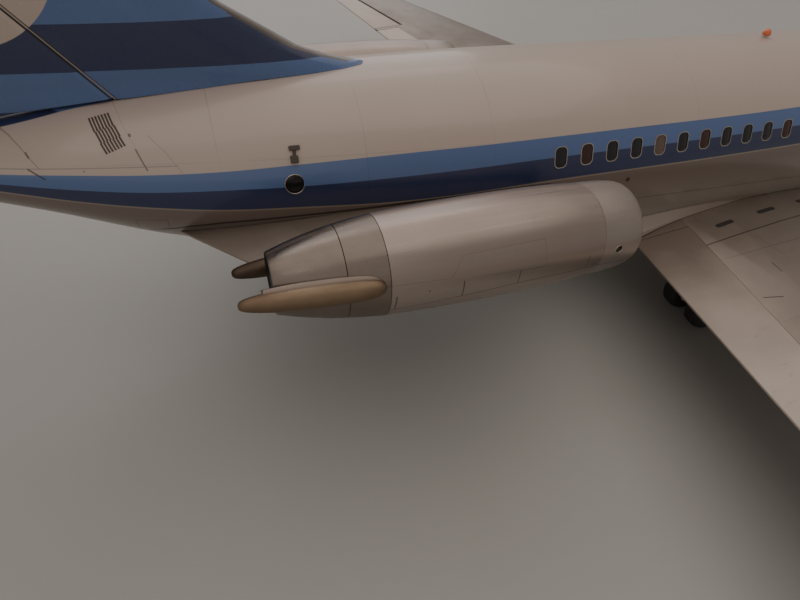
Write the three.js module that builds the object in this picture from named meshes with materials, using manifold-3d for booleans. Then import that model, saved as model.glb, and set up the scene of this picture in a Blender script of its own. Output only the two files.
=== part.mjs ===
// Display model of a narrow body airliner with a T tail, an engine on each side of the rear
// fuselage and a tricycle undercarriage. It stands on its wheels at z = 0.
// Sizes are the model's own, in millimetres, one fiftieth of the full-size aircraft.
// +X is forward, +Y is the port side, +Z is up. A station is a distance aft of the nose tip.
import * as THREE from 'three';
import { mergeVertices } from 'three/addons/utils/BufferGeometryUtils.js';
import Module from 'manifold-3d';

const wasm = await Module();
wasm.setup();

// Driving dimensions
const OVERALL_LENGTH = 636;
const WING_SPAN = 545;
const OVERALL_HEIGHT = 168;
const TAILPLANE_SPAN = 225;
const GAP = 0.3;
const HALF_TURN = Math.PI;
const CLEAR_PAST = 20;

// Fuselage
const BODY_SIDES = 32;
const RADOME_STATION = 17;
const TAIL_CONE_STATION = 527;
const NOSE_TIP_Z = 44;
// columns: station, half width, top z, bottom z, z of the widest point
const BODY_SECTIONS = [
  [3, 6.6, 51.0, 38.2, 44.2],
  [10, 12.2, 57.0, 33.4, 44.6],
  [17, 16.0, 60.6, 30.6, 45.2],
  [28, 21.0, 66.4, 27.2, 46.6],
  [40, 25.0, 76.6, 24.6, 48.6],
  [50, 27.6, 83.2, 23.0, 50.6],
  [70, 31.0, 88.6, 20.8, 54.0],
  [90, 32.7, 90.6, 19.6, 56.6],
  [110, 33.4, 91.2, 19.0, 57.8],
  [240, 33.4, 91.2, 19.0, 57.8],
  [365, 33.4, 91.2, 19.0, 57.8],
  [400, 32.8, 91.2, 21.4, 58.6],
  [434, 30.3, 90.7, 27.6, 61.0],
  [468, 26.2, 89.2, 36.0, 64.2],
  [500, 21.0, 86.2, 45.4, 67.2],
  [527, 15.0, 82.8, 57.0, 70.0],
  [548, 8.6, 78.4, 64.6, 71.0],
  [558, 4.2, 75.0, 68.0, 71.2],
  [561, 2.0, 73.0, 69.6, 71.2],
];

// Cockpit glass, seen from the side: columns: station, z
const WINDSCREEN_OUTLINE = [[27.4, 64.2], [38.4, 79.6], [58.0, 79.6], [58.0, 69.6], [44.0, 64.2]];
const WINDSCREEN_MIDDLE = [44, 71];

// Wing: stations at the centreline, aft shift of each edge per unit out, and thickness ratios
const WING_LEADING_AT_ROOT = 210;
const WING_SWEEP = 0.515;
const WING_TRAILING_AT_ROOT = 334.6;
const WING_TRAILING_SWEEP = 0.19;
const WING_ROOT_Z = 31;
const DIHEDRAL = 0.058;
const WING_ROOT_RATIO = 0.118;
const WING_TIP_RATIO = 0.098;
const WING_TIP_OUT = WING_SPAN / 2;
const WING_INNER_OUT = 12;
const WING_RING_OUTS = [WING_INNER_OUT, 82, 188, WING_TIP_OUT - 6];
const WING_TIP_RINGS = [{ inboard: 1.6, shrink: 0.94 }, { inboard: 0, shrink: 0.62 }];
const FOIL_STEPS = 8;
const FOIL_CURVE = [0.2969, -0.126, -0.3516, 0.2843, -0.1036];
const TRAILING_EDGE_HALF = 0.3;
const HINGE_GAP = 0.5;

// Flaps and ailerons: distances out from the centreline and fractions of the chord
const FLAP_INNER_OUT = 37;
const FLAP_OUTER_OUT = 186;
const FLAP_START = 0.785;
const AILERON_INNER_OUT = 190;
const AILERON_OUTER_OUT = 256;
const AILERON_HINGE = 0.74;
const TRACK_FAIRING_OUTS = [62, 104, 150];
const TRACK_FAIRING = { length: 30, radius: 2.1, below: 3.4, ahead: 2, sides: 10 };
const TRACK_FAIRING_SHAPE = [[0, 0], [0.12, 0.6], [0.4, 1], [0.8, 0.85], [1, 0.5], [1, 0]];

// Fin and rudder: columns: z, leading edge station; the trailing edge and hinge are straight
const FIN_LEADING = [
  [84, 424], [90.2, 434], [91.2, 438], [93.2, 447], [96, 455.6], [100.5, 463.2], [107, 474.4], [158, 528.6],
];
const FIN_SWEEP = 1.06;
const FIN_BASE_Z = 84;
const RUDDER_ROOT_Z = 64;
const FIN_TRAILING_AT_BASE = 542;
const FIN_TRAILING_SLOPE = 0.75;
const HINGE_AT_BASE = 504.2;
const HINGE_SLOPE = 0.76;
const FIN_THICKNESS = 0.105;
const RUDDER_TOP_Z = 149;
const RUDDER_BASE_GAP = 1.2;
const RUDDER_TOP_GAP = 1.6;

// Tailplane, elevators and the bullet fairing that carries them
const TAILPLANE_Z = 161.5;
const BULLET_RADIUS = OVERALL_HEIGHT - TAILPLANE_Z;
const BULLET_STATIONS = [524, 618];
const BULLET_SHAPE = [[0.08, 0.55], [0.22, 0.86], [0.4, 1], [0.6, 0.95], [0.82, 0.6]];
const BULLET_END_RADIUS = 0.5;
const BULLET_SIDES = 16;
const TAILPLANE_ROOT_LEADING = 540.3;
const TAILPLANE_SWEEP = 0.62;
const TAILPLANE_ROOT_CHORD = 65;
const TAILPLANE_TIP_OUT = TAILPLANE_SPAN / 2;
const TAILPLANE_TIP_LEADING = TAILPLANE_ROOT_LEADING + TAILPLANE_SWEEP * TAILPLANE_TIP_OUT;
const TAILPLANE_TIP_CHORD = OVERALL_LENGTH - TAILPLANE_TIP_LEADING;
const TAILPLANE_THICKNESS = 0.1;
const ELEVATOR_HINGE = 0.68;
const ELEVATOR_OUTS = [10, 107];

// Engines: the axis of each nacelle, and stations along it
const NACELLE_OUT = 58.3;
const NACELLE_Z = 63.6;
const ENGINE_SIDES = 24;
const LIP_STATION = 380;
const LIP_RING_STATION = 393;
const FAN_STATION = 411;
const COWL_END_STATION = 451;
const TAIL_RING_END_STATION = 460.4;
const BUCKET_END_STATION = 476.3;
const NOZZLE_END_STATION = 475.7;
const DUCT_RADIUS = 10.4;
const JET_PIPE_RADIUS = 6.4;
// columns: station, outer radius of the cowl and the reverser behind it
const NACELLE_PROFILE = [
  [393, 12.7], [408, 13.4], [428, 13.4], [444, 12.9], [451, 12.5], [460.4, 11.3], [476.3, 7.3],
];
const BUCKET_CANT = THREE.MathUtils.degToRad(17);
// columns: distance aft of the lip's front, radius
const LIP_OUTLINE = [[0.7, 10.3], [0, 10.9], [0.6, 11.5], [2.4, 12.1], [6, 12.5]];
const LIP_THROAT = [5, 10.1];
// columns: station, radius of the plain block that stands for the engine
const ENGINE_OUTLINE = [
  [406, 0], [407.6, 1.8], [FAN_STATION, 3.2], [FAN_STATION, DUCT_RADIUS - GAP], [448, DUCT_RADIUS - GAP],
  [452.7, JET_PIPE_RADIUS + 0.6], [452.7, 3.6], [463, 0],
];
const PIPE_WALL = 0.5;
const PIPE_START_STATION = 453;
const BUCKET_BORE = 6.7;
const STANG = { start: 452, end: 484.5, radius: 2.8, out: 10.9, taper: 0.12, sides: 12 };
// columns: fraction of the length from the front, fraction of the radius
const STANG_SHAPE = [
  [0.015, 0.45], [0.06, 0.75], [0.16, 0.94], [0.4, 1], [0.72, 0.94], [0.92, 0.66], [0.99, 0.4],
];
// columns: distance out, leading edge station, chord, thickness ratio, z
const PYLON_SECTIONS = [[10, 374.5, 125.5, 0.063, 52.4], [50, 391, 85.5, 0.075, 61.8]];
const PYLON_TILT = 0.02;
const PYLON_LEVEL_STATION = 430;

// Wing fairing under the fuselage: columns: station, half width, bottom z
const FAIRING_SECTIONS = [
  [190, 8, 19.6], [212, 20, 17.4], [232, 25, 16.6], [340, 25, 16.6], [362, 21, 17.2], [388, 8, 21],
];
const FAIRING_SIDE_Z = 24;
const FAIRING_TOP = { z: 30, share: 0.84 };

// Undercarriage
const NOSE_GEAR_STATION = 46.6;
const WHEELBASE = 262;
const MAIN_GEAR_STATION = NOSE_GEAR_STATION + WHEELBASE;
const TRACK = 100;
const WHEEL_SIDES = 24;
const MAIN_WHEEL = { radius: 10.2, width: 7.1, spacing: 12.4, bore: 1.5, hub: 5.2 };
const NOSE_WHEEL = { radius: 6.6, width: 3.4, spacing: 6.8, bore: 1.1, hub: 3.4 };
const LEG_SIDES = 12;
const MAIN_LEG = { radius: 2.2, piston: 1.6, collarZ: 17 };
const MAIN_LINK = { aft: 3.6, fore: 0.5, half: 0.6, low: 1, high: 2 };
const MAIN_BRACE = { radius: 1, above: 1.6, out: 34, topZ: 30 };
const MAIN_DOOR = { reach: 7, aboveWheel: 0.9 };
const NOSE_LEG = { radius: 2.1, bore: 1.4, piston: 1.1, bottom: 15.3, collar: 13.8, top: 22.4 };
const NOSE_BAY = { fore: 9, aft: 15, half: 4.6, roof: 28.4 };
const NOSE_BRACE = { radius: 0.9, aft: 1.6, length: 12, low: 3, high: 1.2 };
const NOSE_DOOR = { aboveWheel: 3, topZ: 30 };
const DOOR_THICKNESS = 0.8;

// Lamps and aerials
const BEACON_STATIONS = { top: 278, bottom: 244 };
const BEACON = { radius: 1.8, height: 2.6, sides: 12 };
const AERIAL_STATIONS = { top: 170, bottom: 150 };
const AERIAL = { reach: 5, rake: 4, tip: 7, foot: 7.5, half: 0.45, root: 1 };

const PAINTS = {
  cream: new THREE.MeshStandardMaterial({ color: 0xe9e2d8, roughness: 0.35 }),
  navy: new THREE.MeshStandardMaterial({ color: 0x1d2a44, roughness: 0.35 }),
  silver: new THREE.MeshStandardMaterial({ color: 0xa9a7a6, roughness: 0.4, metalness: 0.6 }),
  steel: new THREE.MeshStandardMaterial({ color: 0x8d8b8a, roughness: 0.3, metalness: 0.9 }),
  bronze: new THREE.MeshStandardMaterial({ color: 0x8b7a63, roughness: 0.4, metalness: 0.8 }),
  dark: new THREE.MeshStandardMaterial({ color: 0x24262a, roughness: 0.6 }),
  glass: new THREE.MeshStandardMaterial({ color: 0x15181c, roughness: 0.1 }),
  rubber: new THREE.MeshStandardMaterial({ color: 0x1c1c1d, roughness: 0.8 }),
  red: new THREE.MeshStandardMaterial({ color: 0xb5301c, roughness: 0.2 }),
};

const airliner = new THREE.Group();

// The place along X of a station
function at(station) {
  return OVERALL_LENGTH / 2 - station;
}

// A value between the rows of a table whose first column rises
function between(table, place, column = 1) {
  const next = Math.max(1, table.findIndex((row) => row[0] >= place));
  const last = table.at(-1)[0] < place ? table.length - 1 : next;
  const [low, high] = [table[last - 1], table[last]];
  const share = (place - low[0]) / (high[0] - low[0]);
  return low[column] + share * (high[column] - low[column]);
}

// A closed geometry through rings that all have the same number of points
function loft(rings) {
  const count = rings[0].length;
  const places = rings.flat().flatMap((point) => point.toArray());
  const faces = [];
  for (let ring = 0; ring + 1 < rings.length; ring++) {
    for (let side = 0; side < count; side++) {
      const a = ring * count + side;
      const b = ring * count + ((side + 1) % count);
      faces.push(a, b, b + count, a, b + count, a + count);
    }
  }
  for (const [ring, flipped] of [[0, true], [rings.length - 1, false]]) {
    const middle = rings[ring].reduce((sum, point) => sum.add(point), new THREE.Vector3());
    places.push(...middle.divideScalar(count).toArray());
    const hub = places.length / 3 - 1;
    for (let side = 0; side < count; side++) {
      const pair = [ring * count + side, ring * count + ((side + 1) % count)];
      faces.push(hub, ...(flipped ? pair.reverse() : pair));
    }
  }
  const geometry = new THREE.BufferGeometry();
  geometry.setAttribute('position', new THREE.Float32BufferAttribute(places, 3));
  geometry.setIndex(faces);
  return outward(geometry);
}

// The same geometry with its faces turned outward, told by the sign of its volume
function outward(geometry) {
  const place = geometry.attributes.position;
  const index = geometry.index.array;
  const corners = [new THREE.Vector3(), new THREE.Vector3(), new THREE.Vector3()];
  let volume = 0;
  for (let face = 0; face < index.length; face += 3) {
    corners.forEach((corner, n) => corner.fromBufferAttribute(place, index[face + n]));
    volume += corners[0].dot(corners[1].clone().cross(corners[2]));
  }
  if (volume < 0) {
    for (let face = 0; face < index.length; face += 3) {
      [index[face], index[face + 1]] = [index[face + 1], index[face]];
    }
  }
  return geometry;
}

// A solid that can be joined and cut, from a closed geometry
function solid(geometry) {
  const bare = geometry.clone();
  bare.deleteAttribute('normal');
  bare.deleteAttribute('uv');
  const merged = mergeVertices(bare, 1e-4);
  return new wasm.Manifold(new wasm.Mesh({
    numProp: 3,
    vertProperties: new Float32Array(merged.attributes.position.array),
    triVerts: new Uint32Array(merged.index.array),
  }));
}

function geometryOf(body) {
  const mesh = body.getMesh();
  const geometry = new THREE.BufferGeometry();
  geometry.setAttribute('position', new THREE.BufferAttribute(mesh.vertProperties, 3));
  geometry.setIndex(new THREE.BufferAttribute(mesh.triVerts, 1));
  return geometry;
}

function mirrored(geometry) {
  return outward(geometry.clone().scale(1, -1, 1));
}

function add(name, geometry, paint) {
  const mesh = new THREE.Mesh(geometry, PAINTS[paint]);
  mesh.name = name;
  airliner.add(mesh);
}

// A piece and its mirror image on the starboard side
function addPair(name, geometry, paint) {
  add(`${name}_left`, geometry, paint);
  add(`${name}_right`, mirrored(geometry), paint);
}

function box(low, high) {
  const size = new THREE.Vector3(...high).sub(new THREE.Vector3(...low));
  const geometry = new THREE.BoxGeometry(size.x, size.y, size.z);
  return geometry.translate(low[0] + size.x / 2, low[1] + size.y / 2, low[2] + size.z / 2);
}

// A shape in the XY plane, pushed up from one z to another
function prism(points, low, high) {
  const shape = new THREE.Shape(points.map(([x, y]) => new THREE.Vector2(x, y)));
  const geometry = new THREE.ExtrudeGeometry(shape, { depth: high - low, bevelEnabled: false });
  return geometry.translate(0, 0, low);
}

// A shape in the XZ plane, pushed across from one side to the other
function sidePrism(points, right, left) {
  return prism(points, -left, -right).rotateX(HALF_TURN / 2);
}

// A body turned about the X axis: the profile's columns are station and radius
function turned(profile, sides = ENGINE_SIDES) {
  const points = profile.map(([station, radius]) => new THREE.Vector2(radius, at(station)));
  const geometry = new THREE.LatheGeometry(points, sides, HALF_TURN / sides);
  geometry.rotateZ(-HALF_TURN / 2);
  return outward(mergedIndex(geometry));
}

function mergedIndex(geometry) {
  const bare = geometry.clone();
  bare.deleteAttribute('normal');
  bare.deleteAttribute('uv');
  return mergeVertices(bare, 1e-4);
}

// A round bar from one point to another
function bar(from, to, radius, sides = LEG_SIDES) {
  const start = new THREE.Vector3(...from);
  const along = new THREE.Vector3(...to).sub(start);
  const geometry = new THREE.CylinderGeometry(radius, radius, along.length(), sides);
  geometry.translate(0, along.length() / 2, 0);
  const turn = new THREE.Quaternion().setFromUnitVectors(new THREE.Vector3(0, 1, 0), along.normalize());
  return geometry.applyQuaternion(turn).translate(...from);
}

// The fuselage's section at a station, grown on every side
function bodyRing([station, half, top, bottom, middle], grow) {
  return Array.from({ length: BODY_SIDES }, (_, side) => {
    const angle = (2 * HALF_TURN * side) / BODY_SIDES;
    const reach = Math.sin(angle) > 0 ? top - middle : middle - bottom;
    const y = (half + grow) * Math.cos(angle);
    return new THREE.Vector3(at(station), y, middle + (reach + grow) * Math.sin(angle));
  });
}

function bodyBlank(grow) {
  const tip = [0, 0.8, NOSE_TIP_Z + 0.8, NOSE_TIP_Z - 0.8, NOSE_TIP_Z];
  return loft([tip, ...BODY_SECTIONS].map((row) => bodyRing(row, grow)));
}

// Half the thickness of a symmetric aerofoil at a fraction of its chord
function foilHalf(fraction, chord, ratio) {
  const [root, ...powers] = FOIL_CURVE;
  const start = root * Math.sqrt(fraction);
  const curve = powers.reduce((sum, factor, n) => sum + factor * fraction ** (n + 1), start);
  return 5 * ratio * chord * curve + TRAILING_EDGE_HALF * fraction;
}

// Pairs of station and half thickness along one side of an aerofoil. A start above 0 gives a
// hinged surface, whose nose is a half circle about the hinge.
function foilSide({ leading, chord, ratio, start = 0 }) {
  const pairs = [];
  if (start > 0) {
    const nose = foilHalf(start, chord, ratio);
    for (const turn of [0, 0.25, 0.5, 0.75]) {
      const angle = (turn * HALF_TURN) / 2;
      pairs.push([leading + start * chord - nose * Math.cos(angle), nose * Math.sin(angle)]);
    }
  }
  for (let step = 0; step <= FOIL_STEPS; step++) {
    const fraction = start + (1 - start) * (1 - Math.cos((HALF_TURN * step) / (2 * FOIL_STEPS)));
    pairs.push([leading + fraction * chord, foilHalf(fraction, chord, ratio)]);
  }
  return pairs;
}

// A closed ring of an aerofoil: place gives a point from a station and a signed half thickness
function foilRing(section, place) {
  const side = foilSide(section);
  const back = side.slice(1).reverse();
  return [
    ...side.map(([station, half]) => place(station, half)),
    ...back.map(([station, half]) => place(station, -half)),
  ];
}

// The wing's chord line at a distance out from the centreline
function wingAt(out) {
  const leading = WING_LEADING_AT_ROOT + WING_SWEEP * out;
  const trailing = WING_TRAILING_AT_ROOT + WING_TRAILING_SWEEP * out;
  const ratio = WING_ROOT_RATIO + (WING_TIP_RATIO - WING_ROOT_RATIO) * (out / WING_TIP_OUT);
  return { leading, chord: trailing - leading, z: WING_ROOT_Z + DIHEDRAL * out, ratio };
}

function wingRing(out, shrink = 1, start = 0) {
  const { leading, chord, z, ratio } = wingAt(out);
  const section = { leading: leading + (1 - shrink) * chord * 0.5, chord: chord * shrink, ratio, start };
  return foilRing(section, (station, half) => new THREE.Vector3(at(station), out, z + half));
}

// A strip of the wing's planform between two distances out, from a fraction of the chord aft,
// grown by ease at its ends and by lead, a function of the section, at its front
function wingStrip(inner, outer, start, ease, lead = () => ease) {
  const corner = (out, fraction) => {
    const section = wingAt(out);
    const shift = fraction === start ? lead(section) : 0;
    return [at(section.leading + fraction * section.chord) + shift, out];
  };
  const past = 1.3;
  const points = [corner(inner - ease, start), corner(inner - ease, past)];
  points.push(corner(outer + ease, past), corner(outer + ease, start));
  return solid(prism(points, 0, TAILPLANE_Z));
}

// The inner part of the left wing, whole and uncut
function wingRoot() {
  return solid(loft([WING_INNER_OUT, FLAP_OUTER_OUT].map((out) => wingRing(out))));
}

function buildBody() {
  const blank = solid(bodyBlank(0));
  const side = TRACK / 2;
  const slab = (from, to) => solid(box([at(to), -side, 0], [at(from), side, OVERALL_HEIGHT]));
  const glassCut = (ease) => {
    const points = WINDSCREEN_OUTLINE.map(([station, z]) => [
      at(station + Math.sign(station - WINDSCREEN_MIDDLE[0]) * ease),
      z + Math.sign(z - WINDSCREEN_MIDDLE[1]) * ease,
    ]);
    return solid(sidePrism(points, -side, side));
  };
  const bay = box(
    [at(NOSE_GEAR_STATION + NOSE_BAY.aft), -NOSE_BAY.half, 0],
    [at(NOSE_GEAR_STATION - NOSE_BAY.fore), NOSE_BAY.half, NOSE_BAY.roof],
  );
  add('nose_cone', geometryOf(blank.intersect(slab(-CLEAR_PAST, RADOME_STATION - GAP))), 'cream');
  const hull = blank.intersect(slab(RADOME_STATION, TAIL_CONE_STATION));
  add('fuselage', geometryOf(hull.subtract(glassCut(GAP)).subtract(solid(bay))), 'cream');
  add('windscreen', geometryOf(blank.intersect(glassCut(0))), 'glass');
  add('tail_cone', geometryOf(blank.intersect(slab(TAIL_CONE_STATION + GAP, OVERALL_LENGTH))), 'cream');
}

// The fairing bulges under the fuselage and between the wing roots
function buildFairing(bodyGrown) {
  const corners = 6;
  const cornerRadius = 12;
  const rings = FAIRING_SECTIONS.map(([station, half, bottom]) => {
    const round = Math.min(half, cornerRadius);
    const top = FAIRING_TOP.share * half;
    const ring = [top, -top].map((y) => new THREE.Vector3(at(station), y, FAIRING_TOP.z));
    for (let corner = 0; corner <= corners; corner++) {
      const angle = ((HALF_TURN / 2) * corner) / corners;
      const y = half - round + round * Math.cos(angle);
      const z = bottom + (FAIRING_SIDE_Z - bottom) * (1 - Math.sin(angle));
      ring.splice(1 + corner, 0, new THREE.Vector3(at(station), y, z));
      ring.splice(ring.length - 1 - corner, 0, new THREE.Vector3(at(station), -y, z));
    }
    return ring;
  });
  let fairing = solid(loft(rings)).subtract(bodyGrown);
  for (const root of [wingRoot(), wingRoot().mirror([0, 1, 0])]) {
    for (const shift of [[0, 0, GAP], [0, 0, -GAP], [GAP, 0, 0], [-GAP, 0, 0]]) {
      fairing = fairing.subtract(root.translate(shift));
    }
  }
  add('wing_fairing', geometryOf(fairing), 'silver');
}

function buildWings(bodyGrown) {
  const rings = WING_RING_OUTS.map((out) => wingRing(out));
  rings.push(...WING_TIP_RINGS.map(({ inboard, shrink }) => wingRing(WING_TIP_OUT - inboard, shrink)));
  let wing = solid(loft(rings)).subtract(bodyGrown);
  const flapStrip = wingStrip(FLAP_INNER_OUT, FLAP_OUTER_OUT, FLAP_START, 0);
  addPair('flap', geometryOf(wing.intersect(flapStrip)), 'silver');
  const nose = ({ chord, ratio }) => foilHalf(AILERON_HINGE, chord, ratio) + HINGE_GAP;
  const aileronStrip = wingStrip(AILERON_INNER_OUT, AILERON_OUTER_OUT, AILERON_HINGE, HINGE_GAP, nose);
  wing = wing.subtract(wingStrip(FLAP_INNER_OUT, FLAP_OUTER_OUT, FLAP_START, GAP)).subtract(aileronStrip);
  for (const out of TRACK_FAIRING_OUTS) {
    wing = wing.add(trackFairing(out));
  }
  addPair('wing', geometryOf(wing), 'silver');
  const aileronRings = [AILERON_INNER_OUT, AILERON_OUTER_OUT].map((out) => wingRing(out, 1, AILERON_HINGE));
  addPair('aileron', loft(aileronRings), 'silver');
}

// A flap track's fairing under the wing, ahead of the flap
function trackFairing(out) {
  const { leading, chord, z } = wingAt(out);
  const { length, radius, below, ahead, sides } = TRACK_FAIRING;
  const start = leading + FLAP_START * chord - ahead - length;
  const profile = TRACK_FAIRING_SHAPE.map(([along, size]) => [start + along * length, size * radius]);
  return solid(turned(profile, sides).translate(0, out, z - below));
}

// The straight leading edge of the fin, carried down through the fillet at its foot
function finStraight(z) {
  const [topZ, topStation] = FIN_LEADING.at(-1);
  return topStation - FIN_SWEEP * (topZ - z);
}

function finRing(z) {
  const leading = between(FIN_LEADING, z);
  const chord = FIN_TRAILING_AT_BASE + FIN_TRAILING_SLOPE * (z - FIN_BASE_Z) - leading;
  const ratio = (FIN_THICKNESS * (leading + chord - finStraight(z))) / chord;
  return foilRing({ leading, chord, ratio }, (station, half) => new THREE.Vector3(at(station), half, z));
}

function hingeStation(z) {
  return HINGE_AT_BASE + HINGE_SLOPE * (z - FIN_BASE_Z);
}

// The fin's aerofoil from its hinge aft, without the fillet ahead of it
function rudderSection(z) {
  const trailing = FIN_TRAILING_AT_BASE + FIN_TRAILING_SLOPE * (z - FIN_BASE_Z);
  const leading = finStraight(z);
  const chord = trailing - leading;
  return { leading, chord, ratio: FIN_THICKNESS, start: (hingeStation(z) - leading) / chord };
}

function rudderRing(z) {
  return foilRing(rudderSection(z), (station, half) => new THREE.Vector3(at(station), half, z));
}

function buildFin(bodyGrown, bulletGrown) {
  const top = FIN_LEADING.at(-1)[0];
  const blank = solid(loft(FIN_LEADING.map(([z]) => finRing(z)))).subtract(bodyGrown).subtract(bulletGrown);
  const ceilingZ = RUDDER_TOP_Z + RUDDER_TOP_GAP;
  const cove = (z) => {
    const { leading, chord, ratio, start } = rudderSection(z);
    return [at(leading + start * chord - foilHalf(start, chord, ratio) - HINGE_GAP), z];
  };
  const behind = at(OVERALL_LENGTH);
  const outline = [cove(RUDDER_ROOT_Z), [behind, RUDDER_ROOT_Z], [behind, ceilingZ], cove(ceilingZ)];
  const rudderSpace = solid(sidePrism(outline, -CLEAR_PAST, CLEAR_PAST));
  add('fin', geometryOf(blank.subtract(rudderSpace)), 'navy');
  const rudder = solid(loft([RUDDER_ROOT_Z, top].map(rudderRing)));
  const base = solid(bodyBlank(RUDDER_BASE_GAP));
  const ceiling = solid(box([behind, -CLEAR_PAST, RUDDER_TOP_Z], [0, CLEAR_PAST, OVERALL_HEIGHT]));
  add('rudder', geometryOf(rudder.subtract(base).subtract(ceiling)), 'navy');
}

function bullet(grow) {
  const [fore, aft] = BULLET_STATIONS;
  const length = aft - fore;
  const profile = BULLET_SHAPE.map(([along, size]) => [fore + along * length, size * BULLET_RADIUS + grow]);
  const outline = [[fore - grow, 0], ...profile, [aft + grow, BULLET_END_RADIUS + grow], [aft + grow, 0]];
  return turned(outline, BULLET_SIDES).translate(0, 0, TAILPLANE_Z);
}

function tailplaneAt(out) {
  const share = out / TAILPLANE_TIP_OUT;
  const chord = TAILPLANE_ROOT_CHORD + share * (TAILPLANE_TIP_CHORD - TAILPLANE_ROOT_CHORD);
  return { leading: TAILPLANE_ROOT_LEADING + TAILPLANE_SWEEP * out, chord, ratio: TAILPLANE_THICKNESS };
}

function tailplaneRing(out, start = 0) {
  const section = { ...tailplaneAt(out), start };
  return foilRing(section, (station, half) => new THREE.Vector3(at(station), out, TAILPLANE_Z + half));
}

function buildTailplane(bulletGrown) {
  const [inner, outer] = ELEVATOR_OUTS;
  const [first, last] = [inner - HINGE_GAP, outer + HINGE_GAP];
  const cove = (out) => {
    const { leading, chord, ratio } = tailplaneAt(out);
    return [at(leading + ELEVATOR_HINGE * chord - foilHalf(ELEVATOR_HINGE, chord, ratio) - HINGE_GAP), out];
  };
  const behind = at(OVERALL_LENGTH + CLEAR_PAST);
  const space = solid(prism([cove(first), [behind, first], [behind, last], cove(last)], 0, OVERALL_HEIGHT));
  const blank = solid(loft([0, TAILPLANE_TIP_OUT].map((out) => tailplaneRing(out))));
  const inboard = solid(box([behind, -CLEAR_PAST, 0], [0, GAP, OVERALL_HEIGHT]));
  addPair('tailplane', geometryOf(blank.subtract(bulletGrown).subtract(inboard).subtract(space)), 'silver');
  addPair('elevator', loft([inner, outer].map((out) => tailplaneRing(out, ELEVATOR_HINGE))), 'silver');
  add('fin_bullet', bullet(0), 'cream');
}

function toNacelle(geometry) {
  return geometry.translate(0, NACELLE_OUT, NACELLE_Z);
}

function nacelleGrown() {
  const profile = NACELLE_PROFILE.map(([station, radius]) => [station, radius + GAP]);
  const [[, front], [, rear]] = [profile[0], profile.at(-1)];
  const closing = [[BUCKET_END_STATION, rear], [BUCKET_END_STATION, 0]];
  return solid(toNacelle(turned([[LIP_STATION, 0], [LIP_STATION, front], ...profile, ...closing])));
}

function buildNacelles() {
  const wall = (from, to, inner) => {
    const inside = NACELLE_PROFILE.filter(([station]) => station > from && station < to);
    const outer = [from, ...inside.map(([station]) => station), to];
    const rim = outer.map((station) => [station, between(NACELLE_PROFILE, station)]);
    return [...rim, [to, inner(to)], [from, inner(from)], rim[0]];
  };
  const onLip = ([aft, radius]) => [LIP_STATION + aft, radius];
  const lipFront = LIP_OUTLINE.map(onLip);
  const lipBack = LIP_RING_STATION - GAP;
  const lipRim = [[lipBack, NACELLE_PROFILE[0][1]], [lipBack, DUCT_RADIUS]];
  const lip = [...lipFront, ...lipRim, onLip(LIP_THROAT), lipFront[0]];
  addPair('intake_lip', toNacelle(turned(lip)), 'steel');
  const cowl = wall(LIP_RING_STATION, COWL_END_STATION - GAP, () => DUCT_RADIUS);
  addPair('cowl', toNacelle(turned(cowl)), 'silver');
  const ring = turned(wall(COWL_END_STATION, TAIL_RING_END_STATION - GAP, () => DUCT_RADIUS - 0.6));
  const stangs = [1, -1].map((side) => solid(stang(side, GAP)));
  const trimmed = (body) => stangs.reduce((left, cutter) => left.subtract(cutter), body);
  addPair('tail_ring', toNacelle(geometryOf(trimmed(solid(ring)))), 'steel');
  const shell = solid(turned(wall(TAIL_RING_END_STATION, BUCKET_END_STATION, () => BUCKET_BORE)));
  for (const [name, side] of [['bucket_top', 1], ['bucket_bottom', -1]]) {
    const edges = [GAP / 2, CLEAR_PAST].map((z) => z * side).sort((a, b) => a - b);
    const half = box([at(OVERALL_LENGTH), -CLEAR_PAST, edges[0]], [0, CLEAR_PAST, edges[1]]);
    const bucket = shell.intersect(solid(half.rotateX(BUCKET_CANT)));
    addPair(name, toNacelle(geometryOf(trimmed(bucket))), 'steel');
  }
  addPair('stang_outer', toNacelle(stang(1, 0)), 'bronze');
  addPair('stang_inner', toNacelle(stang(-1, 0)), 'bronze');
  const pipeOuter = JET_PIPE_RADIUS - PIPE_WALL;
  const pipe = [
    [PIPE_START_STATION, JET_PIPE_RADIUS], [NOZZLE_END_STATION, JET_PIPE_RADIUS],
    [NOZZLE_END_STATION, pipeOuter], [PIPE_START_STATION, pipeOuter], [PIPE_START_STATION, JET_PIPE_RADIUS],
  ];
  addPair('nozzle', toNacelle(turned(pipe)), 'steel');
  addPair('engine', toNacelle(turned(ENGINE_OUTLINE)), 'dark');
}

// A reverser's side fairing, canted with the buckets: side 1 is outboard and high
function stang(side, grow) {
  const { start, end, radius, out, taper, sides } = STANG;
  const profile = STANG_SHAPE.map(([along, size]) => [start + along * (end - start), size * radius + grow]);
  const geometry = turned([[start - grow, 0], ...profile, [end + grow, 0]], sides);
  const middle = at((start + end) / 2);
  geometry.translate(-middle, 0, 0).rotateZ(taper * side).translate(middle, 0, 0);
  return geometry.translate(0, side * out, 0).rotateX(BUCKET_CANT);
}

function buildPylons(bodyGrown) {
  const level = (station) => PYLON_TILT * (PYLON_LEVEL_STATION - station);
  const rings = PYLON_SECTIONS.map(([out, leading, chord, ratio, z]) => {
    const place = (station, half) => new THREE.Vector3(at(station), out, z + level(station) + half);
    return foilRing({ leading, chord, ratio }, place);
  });
  const fairingGrown = solid(toNacelle(stang(-1, GAP)));
  const pylon = solid(loft(rings)).subtract(bodyGrown).subtract(nacelleGrown()).subtract(fairingGrown);
  addPair('pylon', geometryOf(pylon), 'silver');
}

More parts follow.
